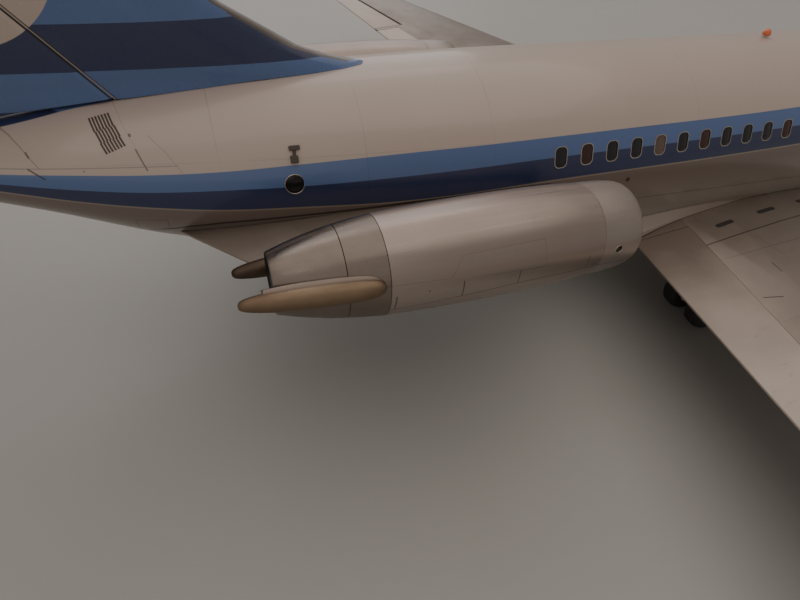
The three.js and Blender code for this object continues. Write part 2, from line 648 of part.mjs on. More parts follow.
// A wheel's ring about the Y axis, flat on the floor at its lowest facet
function wheel({ radius, width, bore, hub }) {
  const rim = radius / Math.cos(HALF_TURN / WHEEL_SIDES);
  const half = width / 2;
  const profile = [
    [bore, half * 0.6], [hub, half * 0.45], [hub * 1.15, half * 0.8],
    [rim * 0.86, half], [rim, half * 0.45],
  ];
  const outline = [...profile.map(([r, y]) => [r, -y]), ...profile.reverse(), [bore, -half * 0.6]];
  const points = outline.map(([r, y]) => new THREE.Vector2(r, y));
  return outward(mergedIndex(new THREE.LatheGeometry(points, WHEEL_SIDES, HALF_TURN / WHEEL_SIDES)));
}

function addWheels(size, station, out, names) {
  for (const [name, side] of names) {
    const y = out + (side * size.spacing) / 2;
    add(name, wheel(size).translate(at(station), y, size.radius), 'rubber');
  }
}

function buildMainGear(wingSolid) {
  const x = at(MAIN_GEAR_STATION);
  const out = TRACK / 2;
  const axleHalf = (MAIN_WHEEL.spacing + MAIN_WHEEL.width) / 2;
  const axleZ = MAIN_WHEEL.radius;
  const { radius, piston, collarZ } = MAIN_LEG;
  const { aft, fore, half, low, high } = MAIN_LINK;
  const insideWing = wingAt(out).z;
  const leg = solid(bar([x, out, collarZ], [x, out, insideWing], radius))
    .add(solid(bar([x, out, axleZ], [x, out, collarZ + 1], piston)))
    .add(solid(bar([x, out - axleHalf, axleZ], [x, out + axleHalf, axleZ], MAIN_WHEEL.bore - GAP)))
    .add(solid(box([x - aft, out - half, axleZ + low], [x - fore, out + half, collarZ + high])));
  addPair('main_leg', geometryOf(leg.subtract(wingSolid)), 'steel');
  const legGrown = solid(bar([x, out, 0], [x, out, 2 * insideWing], radius + GAP));
  const braceTop = [x, MAIN_BRACE.out, MAIN_BRACE.topZ];
  const brace = solid(bar([x, out, collarZ + MAIN_BRACE.above], braceTop, MAIN_BRACE.radius));
  addPair('main_brace', geometryOf(brace.subtract(legGrown).subtract(wingSolid)), 'steel');
  const doorOut = out + radius + GAP;
  const doorLow = 2 * axleZ + MAIN_DOOR.aboveWheel;
  const door = solid(box(
    [x - MAIN_DOOR.reach, doorOut, doorLow], [x + MAIN_DOOR.reach, doorOut + DOOR_THICKNESS, insideWing],
  ));
  addPair('main_door', geometryOf(door.subtract(wingSolid)), 'silver');
  for (const [side, hand] of [['left', 1], ['right', -1]]) {
    addWheels(MAIN_WHEEL, MAIN_GEAR_STATION, hand * out, [
      [`main_wheel_${side}_outer`, hand], [`main_wheel_${side}_inner`, -hand],
    ]);
  }
}

function buildNoseGear(bodyGrown) {
  const x = at(NOSE_GEAR_STATION);
  const { radius, bore, piston, bottom, collar, top } = NOSE_LEG;
  const { aft, length, low, high } = NOSE_BRACE;
  const roof = NOSE_BAY.roof - GAP;
  const housing = solid(bar([x, 0, bottom], [x, 0, roof], radius))
    .subtract(solid(bar([x, 0, bottom - 1], [x, 0, top], bore)))
    .add(solid(bar([x - aft, 0, bottom + low], [x - length, 0, roof - high], NOSE_BRACE.radius)));
  add('nose_leg_housing', geometryOf(housing), 'steel');
  const axleZ = NOSE_WHEEL.radius;
  const axleHalf = (NOSE_WHEEL.spacing + NOSE_WHEEL.width) / 2;
  const fork = solid(bar([x, 0, axleZ], [x, 0, top - GAP], piston))
    .add(solid(bar([x, 0, collar], [x, 0, bottom - GAP], radius)))
    .add(solid(bar([x, -axleHalf, axleZ], [x, axleHalf, axleZ], NOSE_WHEEL.bore - GAP)));
  add('nose_leg_fork', geometryOf(fork), 'steel');
  addWheels(NOSE_WHEEL, NOSE_GEAR_STATION, 0, [['nose_wheel_left', 1], ['nose_wheel_right', -1]]);
  const doorLow = 2 * axleZ + NOSE_DOOR.aboveWheel;
  const door = solid(box(
    [x - NOSE_BAY.aft, NOSE_BAY.half, doorLow],
    [x + NOSE_BAY.fore, NOSE_BAY.half + DOOR_THICKNESS, NOSE_DOOR.topZ],
  ));
  addPair('nose_door', geometryOf(door.subtract(bodyGrown)), 'silver');
}

function buildLampsAndAerials(bodyGrown, fairingBottom) {
  const dome = () => {
    const { radius, height, sides } = BEACON;
    const outline = [[0, 0], [1, 0], [0.9, 0.55], [0.5, 0.92], [0, 1]];
    const points = outline.map(([r, y]) => new THREE.Vector2(r * radius, y * height));
    const geometry = new THREE.LatheGeometry(points, sides);
    return outward(mergedIndex(geometry.rotateX(HALF_TURN / 2)));
  };
  const crown = between(BODY_SECTIONS, BEACON_STATIONS.top, 2);
  add('beacon_top', dome().translate(at(BEACON_STATIONS.top), 0, crown + GAP), 'red');
  const bottom = dome().rotateX(HALF_TURN).translate(at(BEACON_STATIONS.bottom), 0, fairingBottom - GAP);
  add('beacon_bottom', bottom, 'red');
  const blade = (station, column, up) => {
    const { reach, rake, tip, foot, half, root } = AERIAL;
    const skin = between(BODY_SECTIONS, station, column);
    const outline = [[0, -root], [rake, reach], [tip, reach], [foot, -root]];
    const points = outline.map(([aft, out]) => [at(station + aft), skin + out * up]);
    return geometryOf(solid(sidePrism(points, -half, half)).subtract(bodyGrown));
  };
  add('aerial_top', blade(AERIAL_STATIONS.top, 2, 1), 'cream');
  add('aerial_bottom', blade(AERIAL_STATIONS.bottom, 3, -1), 'cream');
}

const bodyGrown = solid(bodyBlank(GAP));
const bulletGrown = solid(bullet(GAP));
const wingGrown = wingRoot().translate([0, 0, -GAP]);
buildBody();
buildFairing(bodyGrown);
buildWings(bodyGrown);
buildFin(bodyGrown, bulletGrown);
buildTailplane(bulletGrown);
buildNacelles();
buildPylons(bodyGrown);
buildMainGear(wingGrown);
buildNoseGear(bodyGrown);
buildLampsAndAerials(bodyGrown, FAIRING_SECTIONS[2][2]);

export default airliner;
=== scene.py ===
"""Looks for a display model of a narrow body airliner with a T tail and rear engines."""

import math

import bmesh
import bpy
from mathutils import Matrix, Vector
from mathutils.bvhtree import BVHTree


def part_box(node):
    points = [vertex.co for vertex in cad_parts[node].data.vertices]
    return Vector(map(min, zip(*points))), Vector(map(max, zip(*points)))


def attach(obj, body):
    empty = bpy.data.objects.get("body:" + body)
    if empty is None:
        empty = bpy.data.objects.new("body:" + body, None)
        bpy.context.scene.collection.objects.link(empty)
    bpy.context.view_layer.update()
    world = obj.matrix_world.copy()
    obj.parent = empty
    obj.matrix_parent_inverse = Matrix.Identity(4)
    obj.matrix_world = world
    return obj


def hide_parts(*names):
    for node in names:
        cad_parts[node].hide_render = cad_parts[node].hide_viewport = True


bl_info = {
    "name": "Display Airliner",
    "version": (1, 0, 0),
    "blender": (4, 5, 0),
    "location": "View3D > Sidebar > Airliner",
    "description": "Dresses a display model of a narrow body airliner",
    "category": "Add Mesh",
}

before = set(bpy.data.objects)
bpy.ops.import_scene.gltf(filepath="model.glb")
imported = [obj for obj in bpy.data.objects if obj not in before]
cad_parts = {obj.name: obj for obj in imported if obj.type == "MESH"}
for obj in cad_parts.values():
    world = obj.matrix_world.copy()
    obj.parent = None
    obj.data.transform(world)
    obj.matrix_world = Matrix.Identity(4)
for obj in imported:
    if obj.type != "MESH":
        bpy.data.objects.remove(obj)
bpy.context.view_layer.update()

MM = 0.001
HALF_TURN = math.pi
NOSE_X = 318
BODY_LENGTH = 2 * NOSE_X
# Height in millimetres that a curve's value of 1 stands for
CURVE_HEIGHT = 100
BODY_SIDES = 96
ROUND_SIDES = 48
# Distances in metres within which vertices belong to one ring, or are merged
RING_NEAR = 2e-5
MERGE_NEAR = 1e-6
# A height above the whole model, in metres
ABOVE_ALL = 0.2
# How much of a direction an edge or a face has to share to count as lying in it
PARALLEL = 0.9
REAR_FACE = 0.97
FRONT_FACE = 0.8
FOOT_FACE = -0.55
INNER_FACE = -0.3

# Fuselage sections in millimetres: station, half width, top, bottom, height of the widest point
BODY_SECTIONS = [
    (0, 0.8, 44.8, 43.2, 44.0),
    (3, 6.6, 51.0, 38.2, 44.2),
    (10, 12.2, 57.0, 33.4, 44.6),
    (17, 16.0, 60.6, 30.6, 45.2),
    (28, 21.0, 66.4, 27.2, 46.6),
    (40, 25.0, 76.6, 24.6, 48.6),
    (50, 27.6, 83.2, 23.0, 50.6),
    (70, 31.0, 88.6, 20.8, 54.0),
    (90, 32.7, 90.6, 19.6, 56.6),
    (110, 33.4, 91.2, 19.0, 57.8),
    (240, 33.4, 91.2, 19.0, 57.8),
    (365, 33.4, 91.2, 19.0, 57.8),
    (400, 32.8, 91.2, 21.4, 58.6),
    (434, 30.3, 90.7, 27.6, 61.0),
    (468, 26.2, 89.2, 36.0, 64.2),
    (500, 21.0, 86.2, 45.4, 67.2),
    (527, 15.0, 82.8, 57.0, 70.0),
    (548, 8.6, 78.4, 64.6, 71.0),
    (558, 4.2, 75.0, 68.0, 71.2),
    (561, 2.0, 73.0, 69.6, 71.2),
]
RADOME_STATION = 17
TAIL_CONE_STATION = 527
BODY_END_STATION = 561
JOINT_GAP = 0.3

# Livery edges in millimetres: station, top of the light band, its lower edge, bottom of the dark band
LIVERY_EDGES = [
    (0, 44.6, 44.0, 43.4),
    (17, 58.0, 53.4, 48.6),
    (45, 70.6, 64.6, 58.0),
    (75, 75.6, 69.9, 63.4),
    (330, 75.6, 69.9, 63.3),
    (388, 75.4, 69.9, 63.1),
    (434, 74.8, 68.9, 61.6),
    (462, 73.9, 68.3, 62.0),
    (482, 73.1, 68.3, 62.3),
    (500, 73.0, 68.5, 63.8),
    (518, 73.4, 69.7, 66.2),
    (534, 73.6, 71.2, 69.1),
    (548, 73.6, 72.3, 71.2),
    (BODY_END_STATION, 73.6, 73.1, 72.6),
]
# Half width in millimetres of the fin's paint where it runs down over the crown, by station
CROWN_PAINT = [
    (0, 0), (490, 0), (500, 2.7), (510, 2.9), (517, 3.4), (524, 4.2), (531, 4.2), (556, 1), (636, 0),
]
# Height at which that paint turns from dark to light
CROWN_PAINT_SPLIT = 83.9
# Heights between which the belly darkens towards the bands
UNDER_BAND_FADE = (35, 60)

# Lines drawn on the fuselage in millimetres: width, strength, then stations and heights
BODY_LINES = [
    (0.26, 0.42, [(530.9, 81.6), (528.8, 80.8), (526.8, 79.2), (525.2, 77.2), (523.6, 74.9)]),
    (0.5, 0.7, [(525.7, 78.0), (525.3, 77.2)]),
    (0.42, 0.8, [(526.1, 74.8), (523.1, 72.5)]),
    (0.24, 0.16, [(504.6, 85.4), (503.9, 84.8), (500.9, 79.0)]),
    (0.4, 0.65, [(500.9, 78.5), (499.3, 74.2)]),
    (0.24, 0.25, [(497.5, 81.0), (494.1, 77.8), (491.2, 73.4)]),
    (0.26, 0.35, [(492, 74.9), (533, 74.9)]),
    (0.3, 0.5, [(345, 50.7), (305.7, 49.3), (262, 48.0)]),
    # The broad line along the pylon's foot: the joint, with painted shade in the crease between pylon and
    # body
    (0.7, 0.8, [
        (503.7, 53.3), (492.7, 56.0), (483.3, 57.4), (462.9, 58.9),
        (432.6, 60.8), (402.4, 62.0), (384.7, 61.9),
    ]),
    (0.7, 0.75, [(501.7, 81.1), (501.7, 81.1)]),
    (0.5, 0.45, [(513.8, 74.3), (513.8, 74.3)]),
    (1.6, 0.9, [(353.7, 59.5), (353.7, 59.5)]),
]
RED_LINES = [(0.3, 0.6, [(498, 55), (506, 55), (506, 59), (498, 59), (498, 55)])]

# Lines on the wing in millimetres: width, strength, then stations and distances out
WING_LINES = [
    (0.7, 0.85, [
        (258, 28.3), (282, 28.9), (295, 29.8), (311, 30.9), (324, 32.6), (331, 33.9), (338, 35.4),
    ]),
    (0.45, 0.85, [(256, 45.2), (288.7, 47.3), (320, 49.0)]),
    (0.3, 0.4, [(320, 49.0), (332.3, 50.6), (344, 51.6)]),
    (0.4, 0.7, [(308, 65.4), (309, 70.4)]),
    (0.4, 0.8, [(325.4, 78.3), (319.5, 80.2)]),
    (0.25, 0.3, [(322.6, 33.8), (330.7, 47.2)]),
    (0.25, 0.3, [(300, 52), (300, 64)]),
]

# Radius at which arcs on the nacelle are measured, in millimetres
NACELLE_ARC_RADIUS = 13
# Lines on the nacelle in millimetres: width, strength, then stations and arcs up from its outer side
NACELLE_LINES = [
    (0.22, 0.75, [(450.9, -4.8), (438, -3.7), (416.7, -2.3), (397, -2.3), (384, -3.6)]),
    (0.3, 0.85, [(449.9, -4.2), (449.7, 0.2)]),
    (0.3, 0.85, [(433.0, -3.2), (433.1, 1.6)]),
    (0.26, 0.8, [(418.0, -2.4), (418.1, 1.6)]),
    (0.22, 0.7, [(397.6, -2.2), (397.5, 1.5)]),
    (0.2, 0.24, [(450.9, 3.5), (436.5, 3.0), (433.4, 8.0), (411.5, 8.5), (411, 1.8)]),
    (0.2, 0.5, [(460.2, 3.7), (451.2, 3.5)]),
    (0.6, 0.5, [(441.8, 0.4), (441.8, 0.4)]),
]

# Cabin windows, from the last one forward
WINDOWS = {"last": 382, "pitch": 9.66, "count": 29, "z": 69.8}
# Starboard windows whose glass carries a painted reflection, warm on some and bright on one
WARM_REFLECTION_WINDOWS = (1, 6, 10)
BRIGHT_REFLECTION_WINDOWS = (4,)
# How far a window's pieces reach into and out of the skin, and their corner radius, in millimetres
WINDOW_OPENING = (0.45, 3, 1.7)
WINDOW_GLASS = (0.4, -0.12, 1.5)
WINDOW_FRAME = (0.4, 0.05, 1.7)
WINDOW_FRAME_HOLE = (1, 1, 1.5)

# Round ports in millimetres, on the body by height and on the intake lip by angle
TAIL_PORT = {"station": 463.6, "z": 69.0, "radius": 2.6, "depth": 0.7, "rim": 0.16}
LIP_PORT = {
    "station": 388.2, "reach": 12.6, "lift": math.radians(7.3), "radius": 1.0, "depth": 0.4, "rim": 0.1,
}
# A port's glass: how far it goes below and above the floor of its hole, and its gap to the wall
PORT_GLASS = {"below": 0.4, "above": 0.12, "gap": 0.02, "round_off": 0.1}
# How far out of the skin the cutter of its hole goes
PORT_CUT_OUT = 2

# Its dark bars are painted shade of the openings between the slats
# Louvre on the starboard side: station and height of its corners, from the upper rear one round
LOUVRE_CORNERS = [(510.7, 83.5), (505.5, 84.4), (502.7, 79.4), (507.9, 77.7)]
LOUVRE_SLATS = 7
LOUVRE_ROWS = 3
LOUVRE_STAGGER = 0.12
# A slat across its length in millimetres: width, lower side, upper side, rounding
SLAT_SECTION = (0.46, -0.3, 0.14, 0.05)

# Bars of the bracket above the port: station, height, half length, then the section as for a slat
BRACKET_BARS = {
    "bracket_bar": (462.5, 77.7, 1.45, 1.2, -0.4, 0.7, 0.12),
    "bracket_foot": (462.9, 75.2, 1, 2.0, -0.4, 1.0, 0.2),
}
BRACKET_STEM_SECTION = (0.9, -0.3, 0.5, 0.1)

# The wing: stations of its edges at the centre line, and how fast they go back and it rises, going out
WING_ROOT = {
    "leading": 210, "sweep": 0.515, "trailing": 334.6, "trailing_sweep": 0.19, "dihedral": 0.058,
}
# Where the flap starts, as a share of the chord, and where its inner end is, in millimetres
FLAP_START = 0.785
FLAP_INNER_OUT = 37.1
# How far forward the dressed flap's front stands, in millimetres
FLAP_ADVANCE = 0.2
# Dark slots in the wing's upper skin: station and distance out of the rear and front ends
WING_SLOTS = [
    ((308.3, 41.1), (299.7, 40.3)),
    ((286.4, 39.4), (277.4, 38.8)),
    ((264.1, 38.1), (255.4, 37.5)),
]
# Section of a slot's plate as for a slat, and the rounding of its ends seen from above
SLOT_SECTION = (1.9, -0.8, 0.16, 0.05)
SLOT_END_ROUND = 0.9
# Root fillet: station, its edge's distance out on the wing, its height above the wing on the body
FILLET_ROWS = [
    (257, 28.3, 0.2), (264, 28.45, 1.3), (272, 28.7, 2.4), (281, 28.95, 3.3),
    (290, 29.5, 4.0), (297, 30.0, 4.4), (304, 30.5, 4.7), (311, 31.0, 4.9),
    (318, 31.8, 4.9), (324, 32.6, 4.8), (331, 33.8, 4.7), (338, 35.2, 4.6),
]
FILLET_STEPS = 6
# How far the fillet stands off the wing and the body, and how deep its two rims go into them
FILLET_RISE = 0.05
FILLET_OUT = 0.04
FILLET_BODY_DEPTH = 1.2
FILLET_WING_DEPTH = 0.8

# Cockpit panes seen from the side: station and height of each corner
COCKPIT_PANES = [
    [(27.6, 64.2), (38.6, 79.5), (44.6, 77.4), (37.2, 64.9)],
    [(38.6, 65.1), (45.8, 77.5), (51.2, 77.8), (46.8, 66.6)],
    [(48.2, 67.0), (52.4, 77.8), (57.4, 77.6), (57.4, 70.2)],
]
# How far out from the centre plane the panes' openings and their glass go, in millimetres
PANE_OPENING_OUT = (1.0, 40)
PANE_GLASS_OUT = (1.05, 40)
# How far below the skin the openings' floor and the glass's outer and inner sides lie
PANE_FLOOR = -0.5
PANE_OUTSIDE = -0.22
PANE_INSIDE = -0.49
# Stations round the cockpit between which those surfaces are made, the inner side a little longer
COCKPIT_SPAN = (20, 64)
COCKPIT_LONG_SPAN = (18, 66)
# Heights of the floor and the top of the nose wheel well
NOSE_WELL = {"bottom": 10, "top": 28.4}

NACELLE_OUT = 58.3
NACELLE_Z = 63.6
BUCKET_CANT = math.radians(17)
# Half the gap between the buckets, as an angle at the nacelle's axis
BUCKET_GAP = 0.02
WHEEL_SIZES = {
    "main": {
        "station": 308.6, "out": 50, "radius": 10.2, "width": 7.1, "spacing": 12.4, "bore": 1.5, "hub": 5.6,
    },
    "nose": {
        "station": 46.6, "out": 0, "radius": 6.6, "width": 3.4, "spacing": 6.8, "bore": 1.1, "hub": 3.7,
    },
}
SIDES = (("left", 1), ("right", -1))

# The fin's leading edge, by height and station, and the rudder's hinge line
FIN_EDGE = [
    (84, 424), (90.2, 434), (91.2, 438), (93.2, 447),
    (96, 455.6), (100.5, 463.2), (107, 474.4), (158, 528.6),
]
HINGE_AT_BASE = 504.2
HINGE_SLOPE = 0.76
FIN_BASE_Z = 84
RUDDER_TOP_Z = 149
# The fin's side walls: gap to the hinge line, thickness, and how fast they close in towards the rear
FIN_WALL_REACH = 1.4
FIN_WALL = 0.2
FIN_TAPER = 0.087
# Where the fin's rear face is, as distances ahead of the hinge line, and its least area in square metres
FIN_REAR = (3, 7)
FIN_REAR_AREA = 2e-6
# How near that face its rim is, and how far the rim goes on above the rudder
FIN_RIM_NEAR = 1.2
FIN_RIM_ABOVE = 3
# How much lower the dressed rudder's foot is, in millimetres
RUDDER_DROP = 0.15


# Places and sizes

def at(station):
    """The X of a station, in metres."""
    return (NOSE_X - station) * MM


def smooth_between(rows, place, column):
    """A smooth value between the rows of a table, which never runs past its neighbours."""
    following = next((n for n, row in enumerate(rows) if row[0] >= place), len(rows) - 1)
    index = max(1, min(len(rows) - 1, following))
    spans = [rows[n + 1][0] - rows[n][0] for n in range(len(rows) - 1)]
    slopes = [(rows[n + 1][column] - rows[n][column]) / spans[n] for n in range(len(rows) - 1)]

    def tangent(n):
        if n == 0 or n == len(rows) - 1:
            return slopes[min(n, len(slopes) - 1)]
        before, after = slopes[n - 1], slopes[n]
        if before * after <= 0:
            return 0
        return 2 * before * after / (before + after)

    low, high = rows[index - 1], rows[index]
    span = spans[index - 1]
    t = (place - low[0]) / span
    return (
        (2 * t ** 3 - 3 * t ** 2 + 1) * low[column]
        + (t ** 3 - 2 * t ** 2 + t) * span * tangent(index - 1)
        + (3 * t ** 2 - 2 * t ** 3) * high[column]
        + (t ** 3 - t ** 2) * span * tangent(index)
    )


def body_at(station):
    """Half width, top, bottom and widest height of the fuselage at a station."""
    return [smooth_between(BODY_SECTIONS, station, column) for column in (1, 2, 3, 4)]


def on_body(station, z, hand):
    """A place on the fuselage skin in millimetres, and the way out from it."""
    half, top, bottom, middle = body_at(station)
    reach = top - middle if z > middle else middle - bottom
    across = half * math.sqrt(max(0.0, 1 - ((z - middle) / reach) ** 2))
    outward = Vector((0, hand * across / half ** 2, (z - middle) / reach ** 2)).normalized()
    return Vector((NOSE_X - station, hand * across, z)), outward


def skin_tree(piece):
    """The faces of a piece in the shared frame, ready for casting rays."""
    corners = [piece.matrix_world @ vertex.co for vertex in piece.data.vertices]
    return BVHTree.FromPolygons(corners, [face.vertices for face in piece.data.polygons])


wing_skin = skin_tree(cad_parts["wing_left"])


def wing_top(station, out):
    """The height of the wing's upper skin in millimetres."""
    place = wing_skin.ray_cast(Vector((at(station), out * MM, ABOVE_ALL)), Vector((0, 0, -1)))[0]
    if place is None:
        raise RuntimeError(f"no wing at station {station}, {out} out")
    return place.z / MM


# Working on meshes

def clear_selection():
    if bpy.context.mode != "OBJECT":
        bpy.ops.object.mode_set(mode="OBJECT")
    bpy.ops.object.select_all(action="DESELECT")


def choose(piece):
    clear_selection()
    bpy.context.view_layer.objects.active = piece
    piece.select_set(True)


def open_mesh(piece):
    choose(piece)
    bpy.ops.object.mode_set(mode="EDIT")
    bpy.ops.mesh.select_mode(type="VERT")


def close_mesh():
    bpy.ops.object.mode_set(mode="OBJECT")


def pick(piece, test):
    """Selects only the vertices that pass the test."""
    shape = bmesh.from_edit_mesh(piece.data)
    shape.select_mode = {"VERT"}
    for vertex in shape.verts:
        vertex.select = test(vertex)
    shape.select_flush_mode()
    bmesh.update_edit_mesh(piece.data)


def runs_along(edge, way):
    return abs((edge.verts[0].co - edge.verts[1].co).normalized().dot(way)) > PARALLEL


def pick_edges(piece, test):
    """Selects only the edges that pass the test."""
    bpy.ops.mesh.select_mode(type="EDGE")
    shape = bmesh.from_edit_mesh(piece.data)
    for edge in shape.edges:
        edge.select = test(edge)
    shape.select_flush_mode()
    bmesh.update_edit_mesh(piece.data)


def settle(piece, name):
    """Names the piece and moves its place, turn and size into its mesh."""
    choose(piece)
    piece.name = name
    piece.data.name = name
    bpy.ops.object.transform_apply(location=True, rotation=True, scale=True)
    return piece


def tidy(piece):
    """Merges doubles and turns every face outwards."""
    open_mesh(piece)
    bpy.ops.mesh.select_all(action="SELECT")
    bpy.ops.mesh.remove_doubles(threshold=MERGE_NEAR)
    bpy.ops.mesh.normals_make_consistent(inside=False)
    close_mesh()


def bake_modifier(piece, kind, **settings):
    choose(piece)
    modifier = piece.modifiers.new(kind.lower(), kind)
    for key, value in settings.items():
        setattr(modifier, key, value)
    bpy.ops.object.modifier_apply(modifier=modifier.name)


def soften(piece, width, angle=35):
    """Rounds the sharp edges and smooths what lies between them."""
    bake_modifier(
        piece, "BEVEL", width=width * MM, segments=2, limit_method="ANGLE",
        angle_limit=math.radians(angle), use_clamp_overlap=True, harden_normals=False,
    )
    smooth(piece)


def smooth(piece, angle=32):
    choose(piece)
    bpy.ops.object.shade_smooth_by_angle(angle=math.radians(angle))


def cut(piece, cutter, operation="DIFFERENCE"):
    """Cuts the piece with another, which is then thrown away."""
    bake_modifier(piece, "BOOLEAN", operation=operation, solver="EXACT", object=cutter)
    bpy.data.objects.remove(cutter)


def joined(pieces, name):
    clear_selection()
    for piece in pieces:
        piece.select_set(True)
    bpy.context.view_layer.objects.active = pieces[0]
    if len(pieces) > 1:
        bpy.ops.object.join()
    pieces[0].name = name
    pieces[0].data.name = name
    return pieces[0]


def mirror_image(piece, name):
    """The same piece on the other side of the centre plane, with its own mesh."""
    choose(piece)
    bpy.ops.object.duplicate()
    twin = bpy.context.active_object
    open_mesh(twin)
    bpy.ops.mesh.select_all(action="SELECT")
    bpy.ops.transform.resize(value=(1, -1, 1), center_override=(0, 0, 0))
    bpy.ops.mesh.flip_normals()
    close_mesh()
    twin.name = name
    twin.data.name = name
    return twin


def wear(piece, *finishes):
    piece.data.materials.clear()
    for material in finishes:
        piece.data.materials.append(material)


def paint_faces(piece, slot, test):
    """Gives a slot of the piece's materials to the faces that pass the test."""
    for face in piece.data.polygons:
        if test(face):
            face.material_index = slot


def mount(piece, body, slot, *nodes):
    """The piece rides on a body and stands for CAD nodes, which it hides; its slot is not used."""
    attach(piece, body)
    if nodes:
        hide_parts(*nodes)


def extruded_rings(name, rings):
    """A round shape drawn out ring by ring. A ring holds x, half width, reach up, reach down, middle."""
    clear_selection()
    bpy.ops.mesh.primitive_circle_add(vertices=BODY_SIDES, radius=1, rotation=(0, HALF_TURN / 2, 0))
    piece = settle(bpy.context.active_object, name)
    open_mesh(piece)
    last = (0, 1, 1, 1, 0)
    for number, ring in enumerate(rings):
        x, half, up, down, middle = ring
        pick(piece, lambda vertex: abs(vertex.co.x - last[0]) < RING_NEAR)
        shift = (x - last[0], 0, middle - last[4])
        if number:
            bpy.ops.mesh.extrude_region_move(TRANSFORM_OT_translate={"value": shift})
        else:
            bpy.ops.transform.translate(value=shift)
        centre = (x, 0, middle)
        bpy.ops.transform.resize(value=(1, half / last[1], up / last[2]), center_override=centre)
        if abs(down / last[3] - up / last[2]) > 1e-9:
            pick(piece, lambda vertex: abs(vertex.co.x - x) < RING_NEAR and vertex.co.z < middle)
            stretch = (down / last[3]) / (up / last[2])
            bpy.ops.transform.resize(value=(1, 1, stretch), center_override=centre)
        last = ring
    for x in (rings[0][0], rings[-1][0]):
        pick(piece, lambda vertex: abs(vertex.co.x - x) < RING_NEAR)
        bpy.ops.mesh.edge_face_add()
    close_mesh()
    tidy(piece)
    return piece


def body_length(name, start, end, step, grow=0.0):
    """A length of the fuselage between two stations, grown on every side."""
    count = max(2, round((end - start) / step))
    inner = [row[0] for row in BODY_SECTIONS if start < row[0] < end]
    stations = sorted({start, end, *inner, *(start + (end - start) * n / count for n in range(count + 1))})
    rings = []
    for station in stations:
        half, top, bottom, middle = body_at(station)
        sizes = (half + grow, top - middle + grow, middle - bottom + grow, middle)
        rings.append((at(station), *[size * MM for size in sizes]))
    return extruded_rings(name, rings)


def spun(name, profile, centre, steps=96, start=0.0, sweep=2 * HALF_TURN):
    """A profile of stations and radii spun about an axis along X through the centre, in millimetres."""
    clear_selection()
    bpy.ops.mesh.primitive_circle_add(vertices=len(profile), radius=1)
    piece = settle(bpy.context.active_object, name)
    open_mesh(piece)
    for number, (station, radius) in enumerate(profile):
        pick(piece, lambda vertex: vertex.index == number)
        y = centre[0] + radius * math.cos(start)
        z = centre[1] + radius * math.sin(start)
        place = Vector((at(station), y * MM, z * MM))
        bpy.ops.transform.translate(value=place - piece.data.vertices[number].co)
    bpy.ops.mesh.select_all(action="SELECT")
    axis_place = (0, centre[0] * MM, centre[1] * MM)
    bpy.ops.mesh.spin(steps=steps, angle=sweep, center=axis_place, axis=(1, 0, 0))
    if sweep < 2 * HALF_TURN:
        bpy.ops.mesh.select_all(action="DESELECT")
        bpy.ops.mesh.select_non_manifold()
        bpy.ops.mesh.fill_holes(sides=0)
    close_mesh()
    tidy(piece)
    return piece


def block(name, low, high, round_off=0.0):
    """A box between two corners in millimetres, with its edges rounded off."""
    clear_selection()
    size = [(b - a) * MM for a, b in zip(low, high)]
    middle = [(a + b) / 2 * MM for a, b in zip(low, high)]
    bpy.ops.mesh.primitive_cube_add(size=1, location=middle, scale=size)
    piece = settle(bpy.context.active_object, name)
    if round_off:
        bake_modifier(piece, "BEVEL", width=round_off * MM, segments=2, limit_method="ANGLE")
    return piece


def rod(name, start, end, radius, round_off=0.0):
    """A round bar between two places in millimetres."""
    start, end = Vector(start), Vector(end)
    along = end - start
    clear_selection()
    bpy.ops.mesh.primitive_cylinder_add(
        vertices=ROUND_SIDES, radius=radius * MM, depth=along.length * MM, location=(start + end) / 2 * MM,
        rotation=along.to_track_quat("Z", "Y").to_euler(),
    )
    piece = settle(bpy.context.active_object, name)
    if round_off:
        bake_modifier(piece, "BEVEL", width=round_off * MM, segments=2, limit_method="ANGLE")
    smooth(piece)
    return piece


def bar(name, start, end, up, width, low, high, round_off, ends=0.0):
    """A bar between two places in millimetres, from low to high along the direction up."""
    start, end = Vector(start), Vector(end)
    along = end - start
    side = Vector(up).cross(along).normalized()
    rise = along.cross(side).normalized()
    middle = ((start + end) / 2 + rise * (low + high) / 2) * MM
    turn = Matrix((along.normalized(), side, rise)).transposed().to_4x4()
    clear_selection()
    bpy.ops.mesh.primitive_cube_add(size=1)
    piece = bpy.context.active_object
    piece.matrix_world = Matrix.Translation(middle) @ turn @ Matrix.Diagonal(
        (along.length * MM, width * MM, (high - low) * MM, 1)
    )
    settle(piece, name)
    if ends:
        open_mesh(piece)
        pick_edges(piece, lambda edge: runs_along(edge, rise))
        bpy.ops.mesh.bevel(offset=ends * MM, segments=5, affect="EDGES")
        close_mesh()
    bake_modifier(piece, "BEVEL", width=round_off * MM, segments=2, limit_method="ANGLE")
    return piece


def lofted(name, rings):
    """A closed shape through rings of places in millimetres, each with the same number of places."""
    clear_selection()
    bpy.ops.mesh.primitive_circle_add(vertices=len(rings[0]), radius=1)
    piece = settle(bpy.context.active_object, name)
    open_mesh(piece)
    bpy.ops.mesh.select_all(action="SELECT")
    bpy.ops.mesh.edge_face_add()
    shape = bmesh.from_edit_mesh(piece.data)
    last = {number: vertex.co.copy() for number, vertex in enumerate(shape.verts)}
    for count, ring in enumerate(rings):
        if count:
            bpy.ops.mesh.extrude_region_move(TRANSFORM_OT_translate={"value": (0, 0, 0)})
        shape = bmesh.from_edit_mesh(piece.data)
        chosen = [vertex for vertex in shape.verts if vertex.select]
        for number, place in enumerate(ring):
            vertex = min(chosen, key=lambda each: (each.co - last[number]).length_squared)
            chosen.remove(vertex)
            vertex.co = Vector(place) * MM
            last[number] = vertex.co.copy()
        bmesh.update_edit_mesh(piece.data)
    close_mesh()
    tidy(piece)
    return piece


